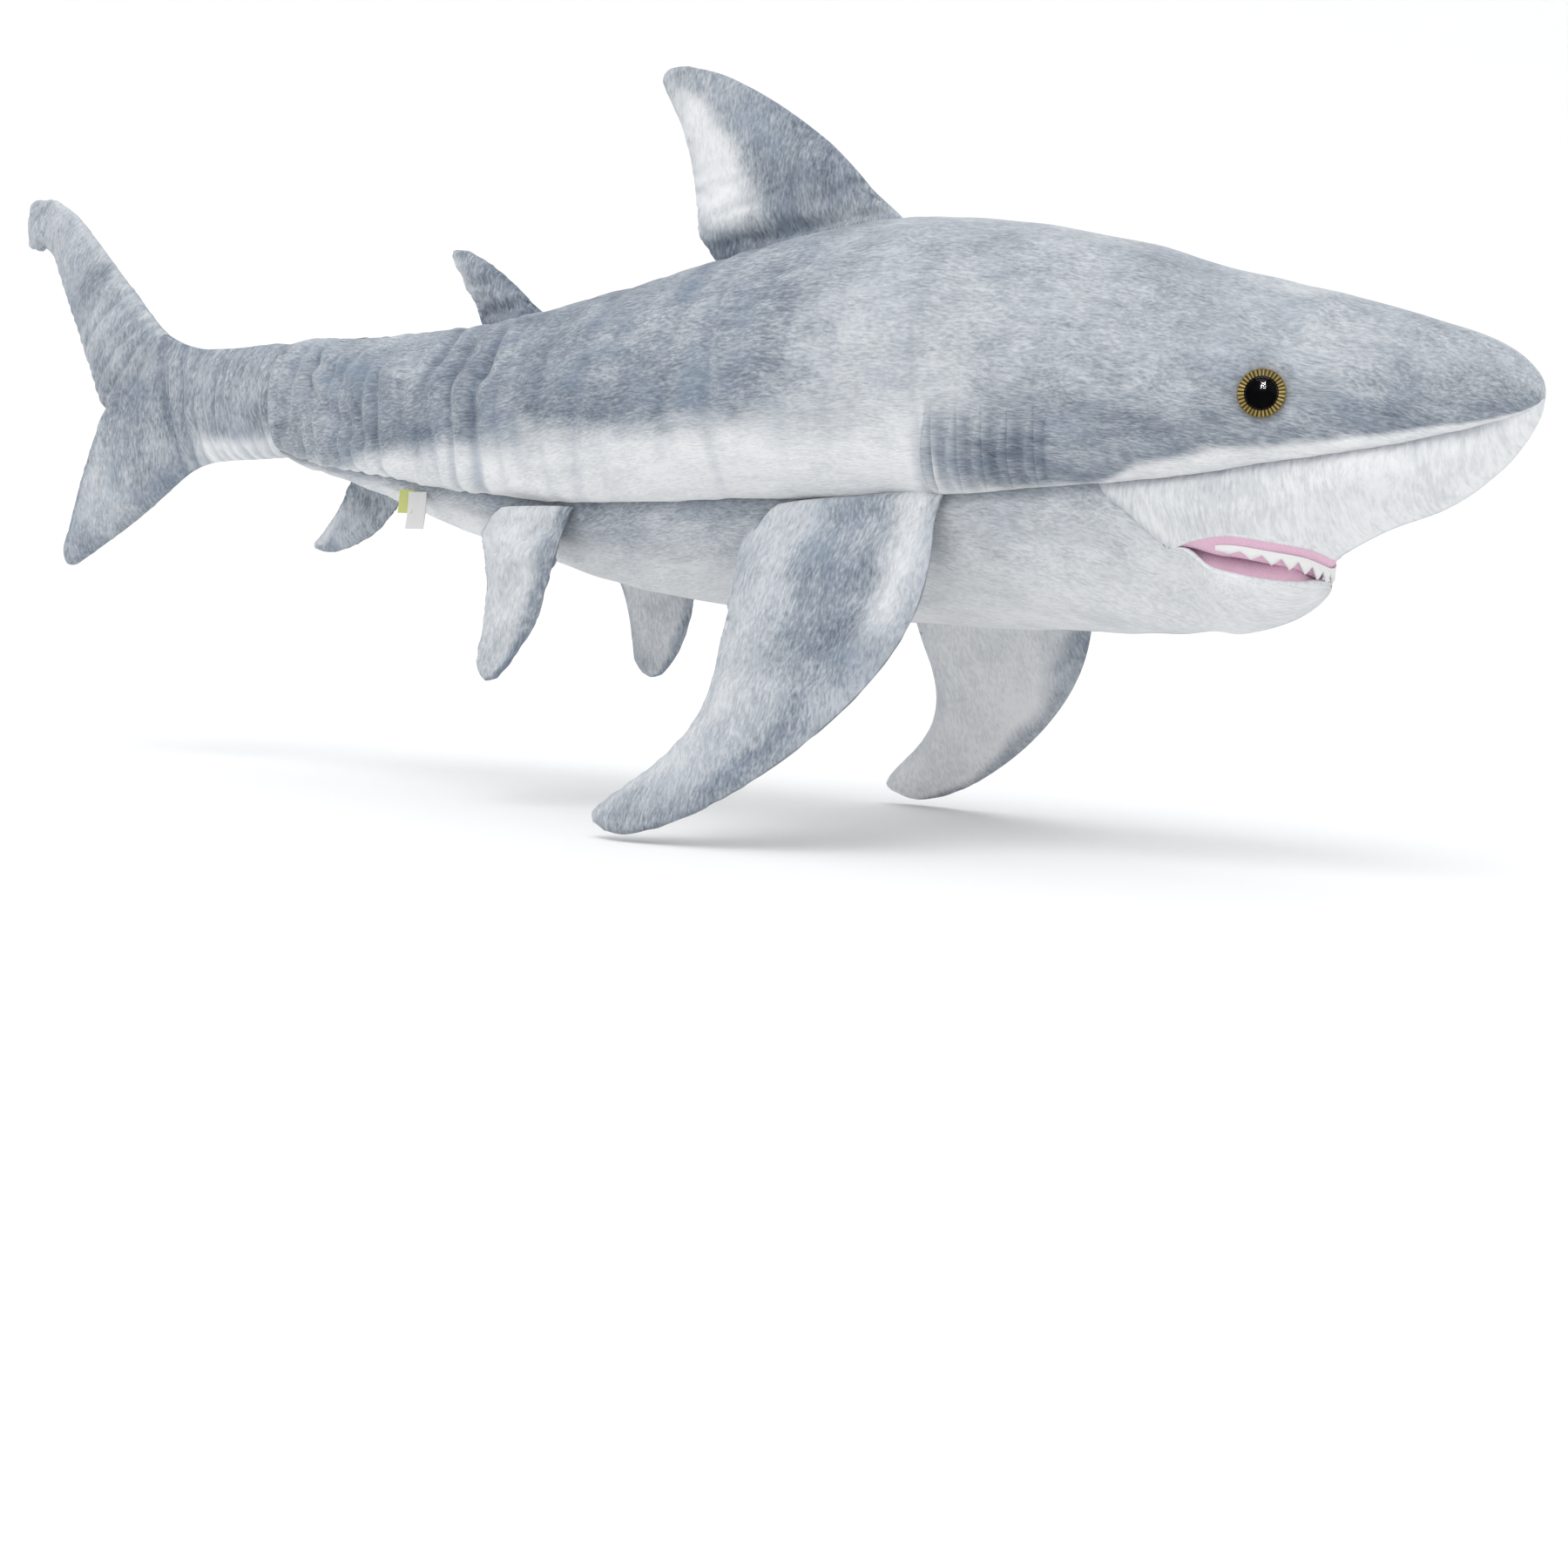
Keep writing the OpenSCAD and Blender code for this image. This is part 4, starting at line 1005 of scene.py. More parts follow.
def fin_grid(rows, count, ring, full, root_in, root_thin, edge=2.0):
    """Closed pillow between a fin's leading and trailing lines: along, across and thickness per point."""
    rows = np.asarray(rows, float)
    first_step = np.linalg.norm((rows[1] - rows[0])[:4]) / 1.4
    first = rows[0] + (rows[0] - rows[1]) * root_in / max(1.0, first_step)
    first[4] = rows[0][4] - root_thin
    rows = np.vstack([first, rows])
    lengths = np.linalg.norm(np.diff((rows[:, :2] + rows[:, 2:4]) / 2, axis=0), axis=1)
    keys = np.concatenate([[0], np.cumsum(np.maximum(lengths, 2.0))])
    length = keys[-1]
    s = np.linspace(0, 1, count) ** 0.98 * length
    q = along(keys, rows, s)
    lead, trail, thick = q[:, :2], q[:, 2:4], q[:, 4:5]
    turn = circle(ring)
    c = (1 - np.cos(turn)) / 2
    side = np.sin(turn)
    rounding = (1 - np.abs(2 * c - 1) ** 6) ** 0.5
    swell = np.sin(np.pi * c) ** full
    half = np.minimum(edge, thick) * rounding + (thick - np.minimum(edge, thick)) * swell
    tip = np.sqrt(np.clip((length - s) / 5.0, 0.0, 1))[:, None]
    shrink = 0.5 + 0.5 * tip
    flat = ((lead + trail) / 2)[:, None] - ((trail - lead) / 2)[:, None] * (np.cos(turn) * shrink)[..., None]
    h = half * np.sign(side) * np.maximum(tip, 0.05)
    h = np.where(np.abs(side) < 1e-9, 0, h)
    return np.concatenate([flat, h[..., None]], -1), s, c, side, length


def fin_relief(flat, s, c, seed, folds):
    """Waves, lumps and folds on a fin: how far the cloth stands out, and the painted shade in its hollows and
    along its rim.
    """
    seam_far = np.minimum(c, 1 - c)
    edge_wave = noise_at(flat[..., 0] / 6, flat[..., 1] / 6, seed, 4.1)
    near_edge = bell(seam_far, 0.10)
    past_root = smooth(s, 4, 14)[:, None]
    lump = noise(flat + seed * 7, 26.0, 1.9)
    proud = 0.5 * edge_wave * near_edge * past_root + 0.9 * lump * (1 - near_edge)
    # painted shade along the fin's rim seam
    shade = 0.35 * near_edge * past_root
    for place, lean, deep, wide in folds:
        fold = fold_shape(s[:, None] - place - lean * (c - 0.5) - 2 * np.sin(4 * c + place), wide, 0.4)
        proud = proud - deep * fold * (0.35 + 0.65 * np.sin(np.pi * c))
        # painted shade in each fold's hollow
        shade = shade + 0.6 * fold
    return proud * (seam_far > 1e-9), np.clip(shade, 0, 1)


def make_fin(name, kind, rows, tone_of, start, end, mirror=False, full=0.6, count=70, ring=96, root_in=4.0,
             root_thin=0.0, edge_gather=1.0, parent="body", material=None, slot="blue_grey_plush", fill=0.55,
             folds=()):
    """One fin's or tail part's skin, with its placement baked; start and end give its joint."""
    piece_name = name + "_skin"
    flat, s, c, side, length = fin_grid(rows, count, ring, full, root_in, root_thin)
    proud, shade = fin_relief(flat, s, c, len(piece_name), folds)
    flat[..., 2] += np.sign(side) * proud
    grid = place_fin(kind, flat)
    grid = grid + fin_swelling(grid, s, c, edge_gather)
    flip = np.array([1, -1, 1]) if mirror else np.ones(3)
    grid = grid * flip
    face_out = np.broadcast_to(side, grid.shape[:2])
    tone = tone_of((s / length)[:, None] + 0 * c, c + 0 * s[:, None], face_out, grid)
    turn = mirror == (kind in SIDE_FINS)
    faces = grid_faces(count, ring, wrap=True, turn=turn) + [ring_face(count - 1, ring, turn)]
    pile = np.stack([flat[..., 1], flat[..., 0], flat[..., 2] * 0.3 + np.sign(face_out) * 40], -1) * MM
    data = {"tone": tone.ravel(), "crease": shade.ravel(), "pile": pile.reshape(-1, 3)}
    made = add_mesh(piece_name, grid.reshape(-1, 3), faces, data)
    panels = ("outer_panel", "inner_panel") if kind in SIDE_FINS else ("right_panel", "left_panel")
    nodes = [f"{name}_{part}" for part in (*panels, "stuffing")]
    finish_piece(made, None, material or plush_dark, nodes)
    blend_over(made, start * flip, end * flip)


def fin_swelling(grid, s, c, edge_gather):
    """Cloth simulation of one fin on every other grid line, spread back over the fine grid."""
    coarse = grid[::2, ::2]
    root = fade(s[::2], 2, 10)
    edge = bell(np.minimum(c[::2], 1 - c[::2]), 0.01)
    pinned = np.maximum(root[:, None], 0.25 * edge[None, :])
    gathered = edge_gather * np.broadcast_to(edge[None, :], pinned.shape) * smooth(s[::2], 6, 16)[:, None]
    faces = closed_faces(*pinned.shape)
    move = inflate(coarse.reshape(-1, 3), faces, pinned, gathered, pressure=3.0, cap=3.0, frames=14)
    move = move.reshape(coarse.shape)
    wrapped = np.concatenate([move[:, -2:], move, move[:, :3]], 1)
    u, v = crossed(np.arange(grid.shape[0]) / 2, np.arange(grid.shape[1]) / 2 + 2)
    return cubic(wrapped, u, v)


# fin tones: share of the length from the root, c across from leading to trailing edge, side out
def dorsal_tone(u, c, side, p):
    """Grey, white behind the middle."""
    ragged = 0.12 * noise(p, 26.0, 3.1)
    white = smooth(c + ragged, 0.40, 0.72) * smooth(u, 0.08, 0.26) * (1 - 0.7 * smooth(u, 0.72, 0.95))
    return np.clip(0.92 - 0.85 * white - 0.12 * smooth(u, 0.55, 0.95), 0, 1)


def small_tone(u, c, side, p):
    """Grey, paler at the trailing edge."""
    pale = smooth(c + 0.1 * noise(p, 14.0, 3.1), 0.55, 0.9) * smooth(u, 0.2, 0.5)
    return np.clip(0.95 - 0.5 * pale, 0, 1)


def pectoral_tone(u, c, side, p):
    """Mottled grey outside with a dark heart and a pale stripe in front; white inside."""
    ragged = 0.12 * noise(p, 26.0, 5.3)
    heart = bell(c + ragged - 0.46, 0.26) * fade(u, 0.30, 0.55)
    fore = bell(c + ragged - 0.18, 0.20) * smooth(u, 0.28, 0.45) * fade(u, 0.72, 0.92)
    stripe = bell(c - 0.13, 0.08) * fade(u, 0.22, 0.45)
    outer = 0.62 + 0.42 * heart + 0.36 * fore - 0.45 * stripe
    outer = outer - 0.22 * smooth(c + ragged, 0.62, 0.9) * smooth(u, 0.25, 0.5)
    outer = outer + 0.18 * smooth(u, 0.75, 0.95)
    inner = 0.02 + 0.8 * fade(c + ragged, 0.06, 0.26) + 0.15 * smooth(u, 0.85, 1.0)
    return np.clip(np.where(side > 0, outer, inner), 0, 1)


def pelvic_tone(u, c, side, p):
    """Pale grey, darker along the leading edge and at the tip."""
    ragged = 0.12 * noise(p, 16.0, 5.3)
    band = fade(c + 0.5 * ragged, 0.04, 0.22)
    return np.clip(0.55 * band + 0.38 + ragged + 0.2 * smooth(u, 0.75, 0.95), 0, 1)


def tail_tone(u, c, side, p):
    """Grey, with a white patch low down behind the tail seam."""
    patch = smooth(c + 0.06 * noise(p, 20.0, 2.9), 0.70, 0.86) * smooth(p[..., 0], -345, -325)
    return np.clip(0.88 - 0.78 * patch + 0.16 * noise(p, 30.0, 6.1), 0, 1)


def lobe_tone(u, c, side, p):
    """Grey with a pale leading edge."""
    pale_edge = fade(c + 0.05 * noise(p, 15.0, 2.2), 0.02, 0.16)
    return np.clip(0.84 - 0.30 * pale_edge + 0.16 * noise(p, 28.0, 6.1), 0, 1)


def cross_folds(places, lean, deep, wide):
    """Random folds across a tail part: place, lean, depth and width."""
    return [(place, rng.uniform(*lean), rng.uniform(*deep), rng.uniform(*wide)) for place in places]


def fins():
    """Every fin and tail part."""
    point = np.array
    make_fin("dorsal", "mid", DORSAL, dorsal_tone, point([102, 0, 86.0]), point([98, 0, 112.0]), root_in=9)
    small = {"count": 44, "ring": 64, "root_in": 14}
    make_fin("second_dorsal", "mid", SECOND, small_tone,
             point([-98, 0, 51.0]), point([-100, 0, 64.0]), **small)
    make_fin("anal", "mid", ANAL, small_tone,
             point([-200, 0, -49.0]), point([-203, 0, -62.0]), **small)
    for name, side in SIDES:
        make_fin(name + "_pectoral", "pectoral", PECTORAL, pectoral_tone,
                 point([183, 67, -56.0]), point([183, 79, -80.0]),
                 mirror=side < 0, count=96, ring=120, root_in=7, root_thin=1.0)
        make_fin(name + "_pelvic", "pelvic", PELVIC, pelvic_tone,
                 point([-29, 57, -62.0]), point([-29, 60, -78.0]),
                 mirror=side < 0, count=60, ring=84, root_in=6, root_thin=1.0,
                 material=plush_pale, slot="pale_plush")
    make_fin("tail", "tail", TAIL, tail_tone,
             point([TAIL_SEAM_X + 4, 0, 5.0]), point([TAIL_SEAM_X - 26, 0, 5.0]),
             full=0.52, count=110, ring=130, root_in=0, edge_gather=0.2, fill=0.7,
             folds=cross_folds((20, 28, 37, 43, 52, 60, 70, 79, 90, 102), (-6, 6), (0.8, 1.9), (1.8, 3.2)))
    make_fin("upper_lobe", "lobe", LOBE, lobe_tone,
             yaw_tail((FOLD_TOP + FOLD_NOTCH) / 2), yaw_tail(lean_lobe(point([-420.0, 0, 45.0]))),
             count=110, ring=96, root_in=18, root_thin=2.5, parent="tail",
             folds=cross_folds((22, 33, 44, 56, 66, 80), (-12, 4), (0.8, 1.8), (2.0, 3.6)))
    make_fin("tail_tip", "lobe", TIP, lobe_tone,
             yaw_tail(lean_lobe(fold_tip(point([CREASE_X + 2.0, 0, 138.0])))),
             yaw_tail(lean_lobe(fold_tip(point([CREASE_X - 14.0, 0, 138.0])))),
             count=56, ring=72, root_in=7, parent="upper_lobe")


# ---- labels ----
def label(name, node, low_drop, material):
    """Hanging ribbon in the place of a label's CAD node."""
    low, high = (np.array(corner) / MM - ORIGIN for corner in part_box(node))
    x = np.linspace(low[0], high[0], 9)
    z = np.linspace(high[2] + 1.5, low[2], 15)
    zz, xx = crossed(z, x)
    hang = low_drop * ((zz - z[0]) / (z[0] - z[-1])) ** 2
    y = (low[1] + high[1]) / 2 + hang + 0.4 * np.sin((xx - x[0]) / 4)
    front = np.stack([xx, y, zz], -1)
    back = front + [0, 0.35, 0]
    points = np.concatenate([front.reshape(-1, 3), back.reshape(-1, 3)])
    faces = grid_faces(*zz.shape) + grid_faces(*zz.shape, start=zz.size, turn=True)
    made = add_mesh(name, points, faces, {"pile": points * MM})
    finish_piece(made, "body", material, [node])


# ---- materials ----
class Shader:
    """Small helper that adds nodes to one material. A value may be a socket or a constant."""

    def __init__(self, name):
        self.material = bpy.data.materials.new(name)
        self.material.use_nodes = True
        self.tree = self.material.node_tree

    def set(self, node, socket, value):
        if isinstance(value, bpy.types.NodeSocket):
            self.tree.links.new(value, node.inputs[socket])
        else:
            node.inputs[socket].default_value = value

    def node(self, kind, **inputs):
        """New node; an input's name is written with _ for a space."""
        made = self.tree.nodes.new(kind)
        for key, value in inputs.items():
            self.set(made, key.replace("_", " "), value)
        return made

    def operate(self, kind, operation, a, b):
        """New node that works on two values, numbers or vectors."""
        made = self.tree.nodes.new(kind)
        made.operation = operation
        self.set(made, 0, a)
        self.set(made, 1, b)
        return made.outputs["Value" if operation == "DOT_PRODUCT" else 0]

    def maths(self, operation, a, b=0.0):
        return self.operate("ShaderNodeMath", operation, a, b)

    def vector(self, operation, a, b):
        return self.operate("ShaderNodeVectorMath", operation, a, b)

    def attribute(self, name, output="Fac"):
        made = self.tree.nodes.new("ShaderNodeAttribute")
        made.attribute_name = name
        return made.outputs[output]

    def noise(self, vector, scale, detail=2.0, rough=0.5, output="Fac"):
        made = self.node("ShaderNodeTexNoise", Vector=vector, Scale=scale, Detail=detail, Roughness=rough)
        return made.outputs[output]

    def ramp(self, value, stops):
        made = self.tree.nodes.new("ShaderNodeValToRGB")
        self.set(made, 0, value)
        ramp = made.color_ramp
        while len(ramp.elements) < len(stops):
            ramp.elements.new(0.5)
        for element, (place, colour) in zip(ramp.elements, stops, strict=True):
            element.position = place
            element.color = (*colour, 1)
        return made.outputs[0]

    def grey_ramp(self, value, low, high, first=0.0, last=1.0):
        """Ramp from the grey level first, at low, to the level last, at high."""
        return self.ramp(value, [(low, (first,) * 3), (high, (last,) * 3)])

    def mix(self, factor, a, b, kind="MIX"):
        made = self.tree.nodes.new("ShaderNodeMix")
        made.data_type = "RGBA"
        made.blend_type = kind
        shown = [k for k, socket in enumerate(made.inputs) if socket.enabled]
        for k, value in zip(shown, (factor, a, b), strict=True):
            self.set(made, k, (*value, 1) if isinstance(value, tuple) else value)
        return [socket for socket in made.outputs if socket.enabled][0]

    def bump(self, height, distance, strength=1.0, under=None):
        below = {} if under is None else {"Normal": under}
        made = self.node("ShaderNodeBump", Height=height, Distance=distance, Strength=strength, **below)
        return made.outputs["Normal"]

    def finish(self, **inputs):
        """Sets the main shader's inputs and returns the material."""
        for key, value in inputs.items():
            self.set(self.tree.nodes["Principled BSDF"], key.replace("_", " "), value)
        return self.material


GREY_DARK, GREY_MID, GREY_LIGHT = (0.135, 0.165, 0.210), (0.275, 0.312, 0.360), (0.500, 0.530, 0.570)
BLUE_PATCH, BLUE_AMOUNT = (0.215, 0.275, 0.360), 0.55
WHITE_DIM, WHITE_PILE = (0.69, 0.71, 0.735), (0.85, 0.86, 0.87)
# colour of the painted shade that the crease attribute lays into folds, seams, tucks and fin hollows
FOLD_SHADE = (0.62, 0.66, 0.72)
SWIRL_REACH = 0.012  # metres that the pile's direction wanders
FLECK_SHARE, STREAK_SHARE, TUFT_SHARE, CLOUD_SHARE = 0.40, 0.18, 0.14, 0.28


def plush(name, fleck_size=(230.0, 720.0, 720.0), streak_size=(45.0, 130.0, 130.0), pile_depth=0.0010):
    """Short brushed pile. The pile attribute's first axis runs with the nap, so flecks stretch along it."""
    s = Shader(name)
    nap = s.attribute("pile", "Vector")
    swirl = s.noise(nap, 22.0, 1.0, output="Color")
    swirl = s.vector("MULTIPLY", s.vector("ADD", swirl, (-0.5,) * 3), (SWIRL_REACH,) * 3)
    lain = s.vector("ADD", nap, swirl)
    fleck = s.noise(s.vector("MULTIPLY", lain, fleck_size), 1.0, 2.0, 0.65)
    streak = s.noise(s.vector("MULTIPLY", lain, streak_size), 1.0, 3.0, 0.6)
    tuft = s.noise(lain, 60.0, 3.0, 0.6)
    cloud = s.noise(nap, 16.0, 2.0, 0.5)
    shade = s.maths("MULTIPLY", fleck, FLECK_SHARE)
    for part, share in ((streak, STREAK_SHARE), (tuft, TUFT_SHARE), (cloud, CLOUD_SHARE)):
        shade = s.maths("ADD", shade, s.maths("MULTIPLY", part, share))
    grey = s.ramp(shade, [(0.37, GREY_DARK), (0.49, GREY_MID), (0.62, GREY_LIGHT)])
    blueness = s.grey_ramp(s.noise(nap, 24.0, 2.0, 0.6), 0.52, 0.72, last=BLUE_AMOUNT)
    grey = s.mix(blueness, grey, BLUE_PATCH)
    white = s.ramp(shade, [(0.36, WHITE_DIM), (0.54, WHITE_PILE)])
    ragged = s.maths("MULTIPLY", s.maths("SUBTRACT", shade, 0.5), -0.6)
    amount = s.grey_ramp(s.maths("ADD", s.attribute("tone"), ragged), 0.02, 0.98)
    pile = s.mix(amount, white, grey)
    # painted shade: the pile colour is darkened towards FOLD_SHADE where the crease attribute marks folds,
    # seams, gill tucks and fin hollows
    painted_fold_shade = s.ramp(s.attribute("crease"), [(0.0, (1, 1, 1)), (1.0, FOLD_SHADE)])
    height = s.maths("ADD", s.maths("MULTIPLY", streak, 0.7), s.maths("MULTIPLY", fleck, 0.7))
    coarse = s.bump(tuft, 0.003, 0.30)
    return s.finish(
        Base_Color=s.mix(1.0, pile, painted_fold_shade, kind="MULTIPLY"),
        Normal=s.bump(height, pile_depth, 0.75, coarse),
        Roughness=0.9,
        Specular_IOR_Level=0.1,
        Sheen_Weight=0.35,
        Sheen_Roughness=0.4,
        Sheen_Tint=(0.96, 0.98, 1.0, 1.0),
    )


def woven(name, base, dark, scale=2600.0):
    """Plain woven cloth: crossing threads from two wave textures."""
    s = Shader(name)
    place = s.attribute("pile", "Vector")
    waves = []
    for axis in ("X", "DIAGONAL"):
        made = s.node("ShaderNodeTexWave", Vector=place, Scale=scale / 6.28, Distortion=0.6)
        made.bands_direction = axis
        waves.append(made.outputs["Fac"])
    threads = s.maths("MULTIPLY", *waves)
    cloudy = s.noise(place, 90.0, 3.0)
    colour = s.mix(s.maths("MULTIPLY", threads, 0.8), dark, base)
    colour = s.mix(s.maths("MULTIPLY", cloudy, 0.3), colour, base)
    normal = s.bump(threads, 0.0004, 0.7)
    return s.finish(Base_Color=colour, Normal=normal, Roughness=0.8, Sheen_Weight=0.2)


def felt_cloth():
    """White felt of matted fibres."""
    s = Shader("white_felt")
    fibres = s.noise(s.attribute("pile", "Vector"), 1400.0, 4.0, 0.7)
    colour = s.mix(fibres, (0.80, 0.80, 0.79), (0.93, 0.93, 0.92))
    normal = s.bump(fibres, 0.0003, 0.6)
    return s.finish(Base_Color=colour, Normal=normal, Roughness=0.95, Sheen_Weight=0.3)


def moulded(name, colour, rough, coat=0.0, shine=0.5):
    """Moulded plastic with faint surface ripple."""
    s = Shader(name)
    place = s.node("ShaderNodeTexCoord").outputs["Object"]
    ripple = s.noise(place, 300.0, 2.0)
    tint = s.mix(s.maths("MULTIPLY", ripple, 0.25), colour, tuple(c * 0.8 for c in colour))
    normal = s.bump(ripple, 0.00002, 0.1)
    return s.finish(
        Base_Color=tint, Normal=normal, Roughness=rough, Coat_Weight=coat, Specular_IOR_Level=shine)


PRINT_RADIUS = 0.0078  # metres: the iris is printed black out to here
SPOKES = 34.0
EYE_BLACK = (0.004, 0.004, 0.005)


def iris_gold(name, centre, normal):
    """Gold ring with fine spokes round the eye's axis, printed black next to the pupil."""
    s = Shader(name)
    up = Vector((0, 0, 1))
    across = up.cross(normal).normalized()
    place = s.node("ShaderNodeTexCoord").outputs["Object"]
    away = s.vector("SUBTRACT", place, centre)
    parts = [s.vector("DOT_PRODUCT", away, axis) for axis in (across, up)]
    angle = s.maths("ARCTAN2", *parts)
    spokes = s.maths("SINE", s.maths("MULTIPLY", angle, SPOKES))
    long = s.node("ShaderNodeCombineXYZ", X=s.maths("MULTIPLY", angle, 9.0))
    uneven = s.noise(long.outputs[0], 3.0, 2.0)
    shade = s.maths("ADD", s.maths("MULTIPLY", spokes, 0.25), uneven)
    gold = s.ramp(shade, [(0.25, (0.10, 0.06, 0.01)), (0.5, (0.38, 0.26, 0.06)), (0.78, (0.85, 0.70, 0.32))])
    square = s.maths("ADD", *(s.maths("POWER", part, 2.0) for part in parts))
    outside = s.maths("GREATER_THAN", square, PRINT_RADIUS**2)
    colour = s.mix(outside, EYE_BLACK, gold)
    return s.finish(Base_Color=colour, Metallic=0.5, Roughness=0.32, Normal=s.bump(spokes, 0.0002, 0.8))


def clear_dome():
    """Clear dome: see-through, with a glossy surface."""
    s = Shader("clear_dome")
    clear = s.node("ShaderNodeBsdfTransparent")
    gloss = s.node("ShaderNodeBsdfGlossy", Roughness=0.03)
    fresnel = s.node("ShaderNodeFresnel", IOR=1.5)
    mix = s.tree.nodes.new("ShaderNodeMixShader")
    share = s.maths("MULTIPLY", fresnel.outputs[0], 0.25)
    for k, value in enumerate((share, clear.outputs[0], gloss.outputs[0])):
        s.set(mix, k, value)
    s.set(s.tree.nodes["Material Output"], "Surface", mix.outputs[0])
    return s.material


def set_material(piece, material):
    """The piece's only material."""
    piece.data.materials.clear()
    piece.data.materials.append(material)


def finish_piece(piece, body, material, replaces):
    """Gives a new piece its material and body, and hides the CAD nodes that it stands for."""
    set_material(piece, material)
    if body:
        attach(piece, body)
    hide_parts(*replaces)


DOME_ROWS, DOME_RING = 14, 48


def eye_dome(name, side):
    """Smooth clear dome over one eye."""
    ball = (EYE_R**2 + DOME_HIGH**2) / (2 * DOME_HIGH)
    radius = EYE_R * np.linspace(0.02, 1, DOME_ROWS)[:, None, None]
    height = np.sqrt(ball**2 - radius**2) - ball + DOME_HIGH + DOME_BACK
    around = circle(DOME_RING)[:, None]
    turn = math.radians(EYE_TURN)
    axis = np.array([math.sin(turn), side * math.cos(turn), 0])
    across = np.array([math.cos(turn), -side * math.sin(turn), 0])
    up = np.array([0, 0, 1.0])
    grid = np.array([EYE_X, side * EYE_Y, EYE_Z]) + height * axis
    grid = grid + radius * np.cos(around) * across + radius * np.sin(around) * up
    faces = grid_faces(DOME_ROWS, DOME_RING, wrap=True, turn=side < 0) + [ring_face(0, DOME_RING, side > 0)]
    made = add_mesh(name + "_eye_dome", grid.reshape(-1, 3), faces)
    finish_piece(made, "body", dome, [name + "_eye_lens"])


def eyes():
    """Materials of the eyes' CAD pieces, and a dome over each eye."""
    turn = math.radians(EYE_TURN)
    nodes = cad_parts
    for name, side in reversed(SIDES):
        low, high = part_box(name + "_eye_iris")
        normal = Vector((math.sin(turn), side * math.cos(turn), 0))
        set_material(nodes[name + "_eye_iris"], iris_gold("iris_" + name, (low + high) / 2, normal))
        set_material(nodes[name + "_eye_pupil"], black_plastic)
        set_material(nodes[name + "_eye_back"], rim_plastic)
        set_material(nodes[name + "_eye_washer"], white_plastic)
        eye_dome(name, side)


# ---- stage ----
# the floor's profile, sweeping up far away: radius and height in metres
FLOOR = [
    (1.0, 0), (2.5, 0), (4.0, 0), (5.0, 0.12), (5.8, 0.45), (6.4, 1.0), (6.8, 1.8), (7.0, 3.0), (7.0, 6.0),
]
FLOOR_RING = 64
# sun lamps: name, where the light comes from, angle of the source in degrees, strength
SUNS = (
    ("key", (0.2, -1.2, 2.0), 40, 0.85),
    ("fill", (2.2, -0.6, 0.9), 60, 0.40),
    ("back", (-1.4, 1.4, 1.6), 50, 0.35),
    ("top", (0.3, -0.1, 2.0), 60, 0.55),
)
# soft boxes that only the domes reflect: place and the point they face, for the left side, in metres
GLINT_PLACE, GLINT_AIM, GLINT_WATTS = (0.78, 1.15, 0.85), (0.42, 0.05, 0.22), 90.0


def make_floor():
    """Pale floor that sweeps up all round."""
    around = circle(FLOOR_RING)
    points = [(r * math.cos(t), r * math.sin(t), h) for r, h in FLOOR for t in around]
    faces = grid_faces(len(FLOOR), FLOOR_RING, wrap=True, turn=True) + [ring_face(0, FLOOR_RING)]
    mesh = bpy.data.meshes.new("floor")
    mesh.from_pydata(points, [], faces)
    mesh.polygons.foreach_set("use_smooth", [True] * len(mesh.polygons))
    floor = link_object("floor", mesh)
    floor.visible_glossy = False
    set_material(floor, Shader("floor").finish(
        Base_Color=(0.9, 0.9, 0.9, 1), Roughness=0.9, Specular_IOR_Level=0.0))


def make_world():
    """Pale even surroundings that glossy surfaces don't mirror."""
    world = bpy.data.worlds.new("studio")
    scene.world = world
    world.use_nodes = True
    background = world.node_tree.nodes["Background"]
    background.inputs["Color"].default_value = (0.98, 0.99, 1.0, 1)
    background.inputs["Strength"].default_value = 0.70
    world.cycles_visibility.glossy = False


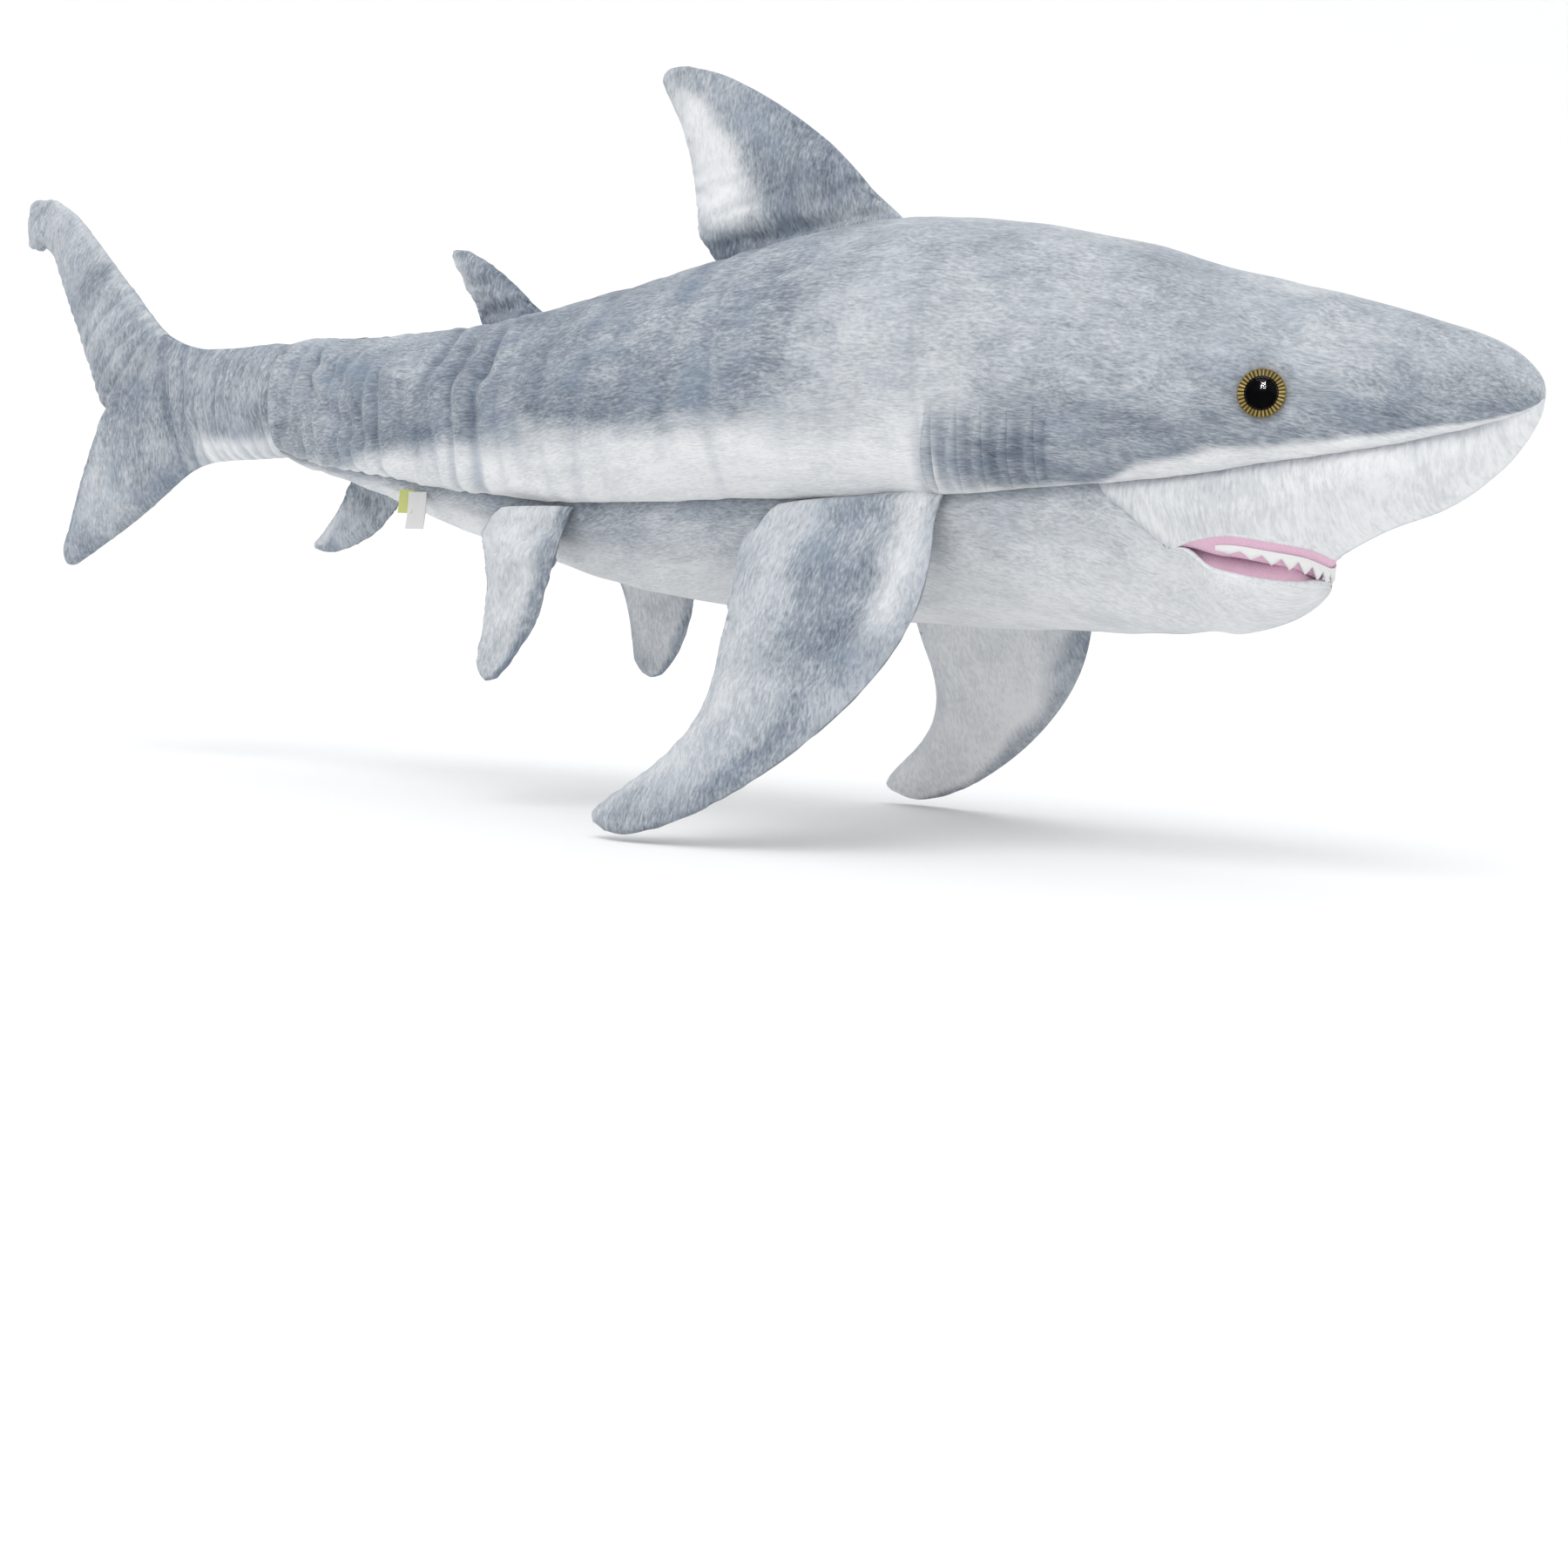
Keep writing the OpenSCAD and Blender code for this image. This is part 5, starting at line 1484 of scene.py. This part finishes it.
def make_suns():
    for name, source, softness, strength in SUNS:
        data = bpy.data.lights.new(name, "SUN")
        data.angle = math.radians(softness)
        data.energy = strength
        lamp = link_object(name, data)
        lamp.rotation_euler = Vector(source).to_track_quat("Z", "Y").to_euler()


def make_glints():
    """A window's reflection for each eye, seen only in the domes."""
    only_eyes = bpy.data.collections.new("only_eyes")
    for name, _ in SIDES:
        only_eyes.objects.link(bpy.data.objects[name + "_eye_dome"])
    for _, side in reversed(SIDES):
        flip = Vector((1, side, 1))
        place = Vector(GLINT_PLACE) * flip
        data = bpy.data.lights.new("glint", "AREA")
        data.shape = "RECTANGLE"
        data.size, data.size_y = 0.40, 0.50
        data.energy = GLINT_WATTS
        lamp = link_object("glint", data)
        lamp.location = place
        lamp.rotation_euler = (place - Vector(GLINT_AIM) * flip).to_track_quat("Z", "Y").to_euler()
        lamp.light_linking.receiver_collection = only_eyes


def make_stage():
    """Floor, surroundings and soft studio light."""
    make_floor()
    make_world()
    make_suns()
    make_glints()
    scene.view_settings.view_transform = "Standard"


make_camera()
plush_dark = plush("blue_grey_plush")
plush_pale = plush("pale_plush")
plush_snout = plush("snout_plush", (620.0, 110.0, 110.0), (260.0, 40.0, 40.0), 0.0018)
lining_cloth = woven("pink_lining", (0.96, 0.73, 0.85), (0.85, 0.50, 0.68))
felt = felt_cloth()
ribbon_white = woven("ribbon_white", (0.93, 0.93, 0.92), (0.78, 0.78, 0.77), 5000.0)
ribbon_yellow = woven("ribbon_yellow", (0.78, 0.82, 0.30), (0.60, 0.64, 0.20), 5000.0)
black_plastic = moulded("black_plastic", EYE_BLACK, 0.25, shine=0.15)
rim_plastic = moulded("rim_plastic", (0.30, 0.22, 0.07), 0.35, coat=0.5)
white_plastic = moulded("white_plastic", (0.8, 0.8, 0.79), 0.5)
dome = clear_dome()

side_skins()
belly_skin()
snout_skin()
jaw_skin()
mouth_roof()
mouth_floor()
teeth()
gill_tucks()
fins()
label("care_ribbon", "care_label", -2.5, ribbon_white)
label("size_ribbon", "size_tab", -1.5, ribbon_yellow)
eyes()
make_stage()
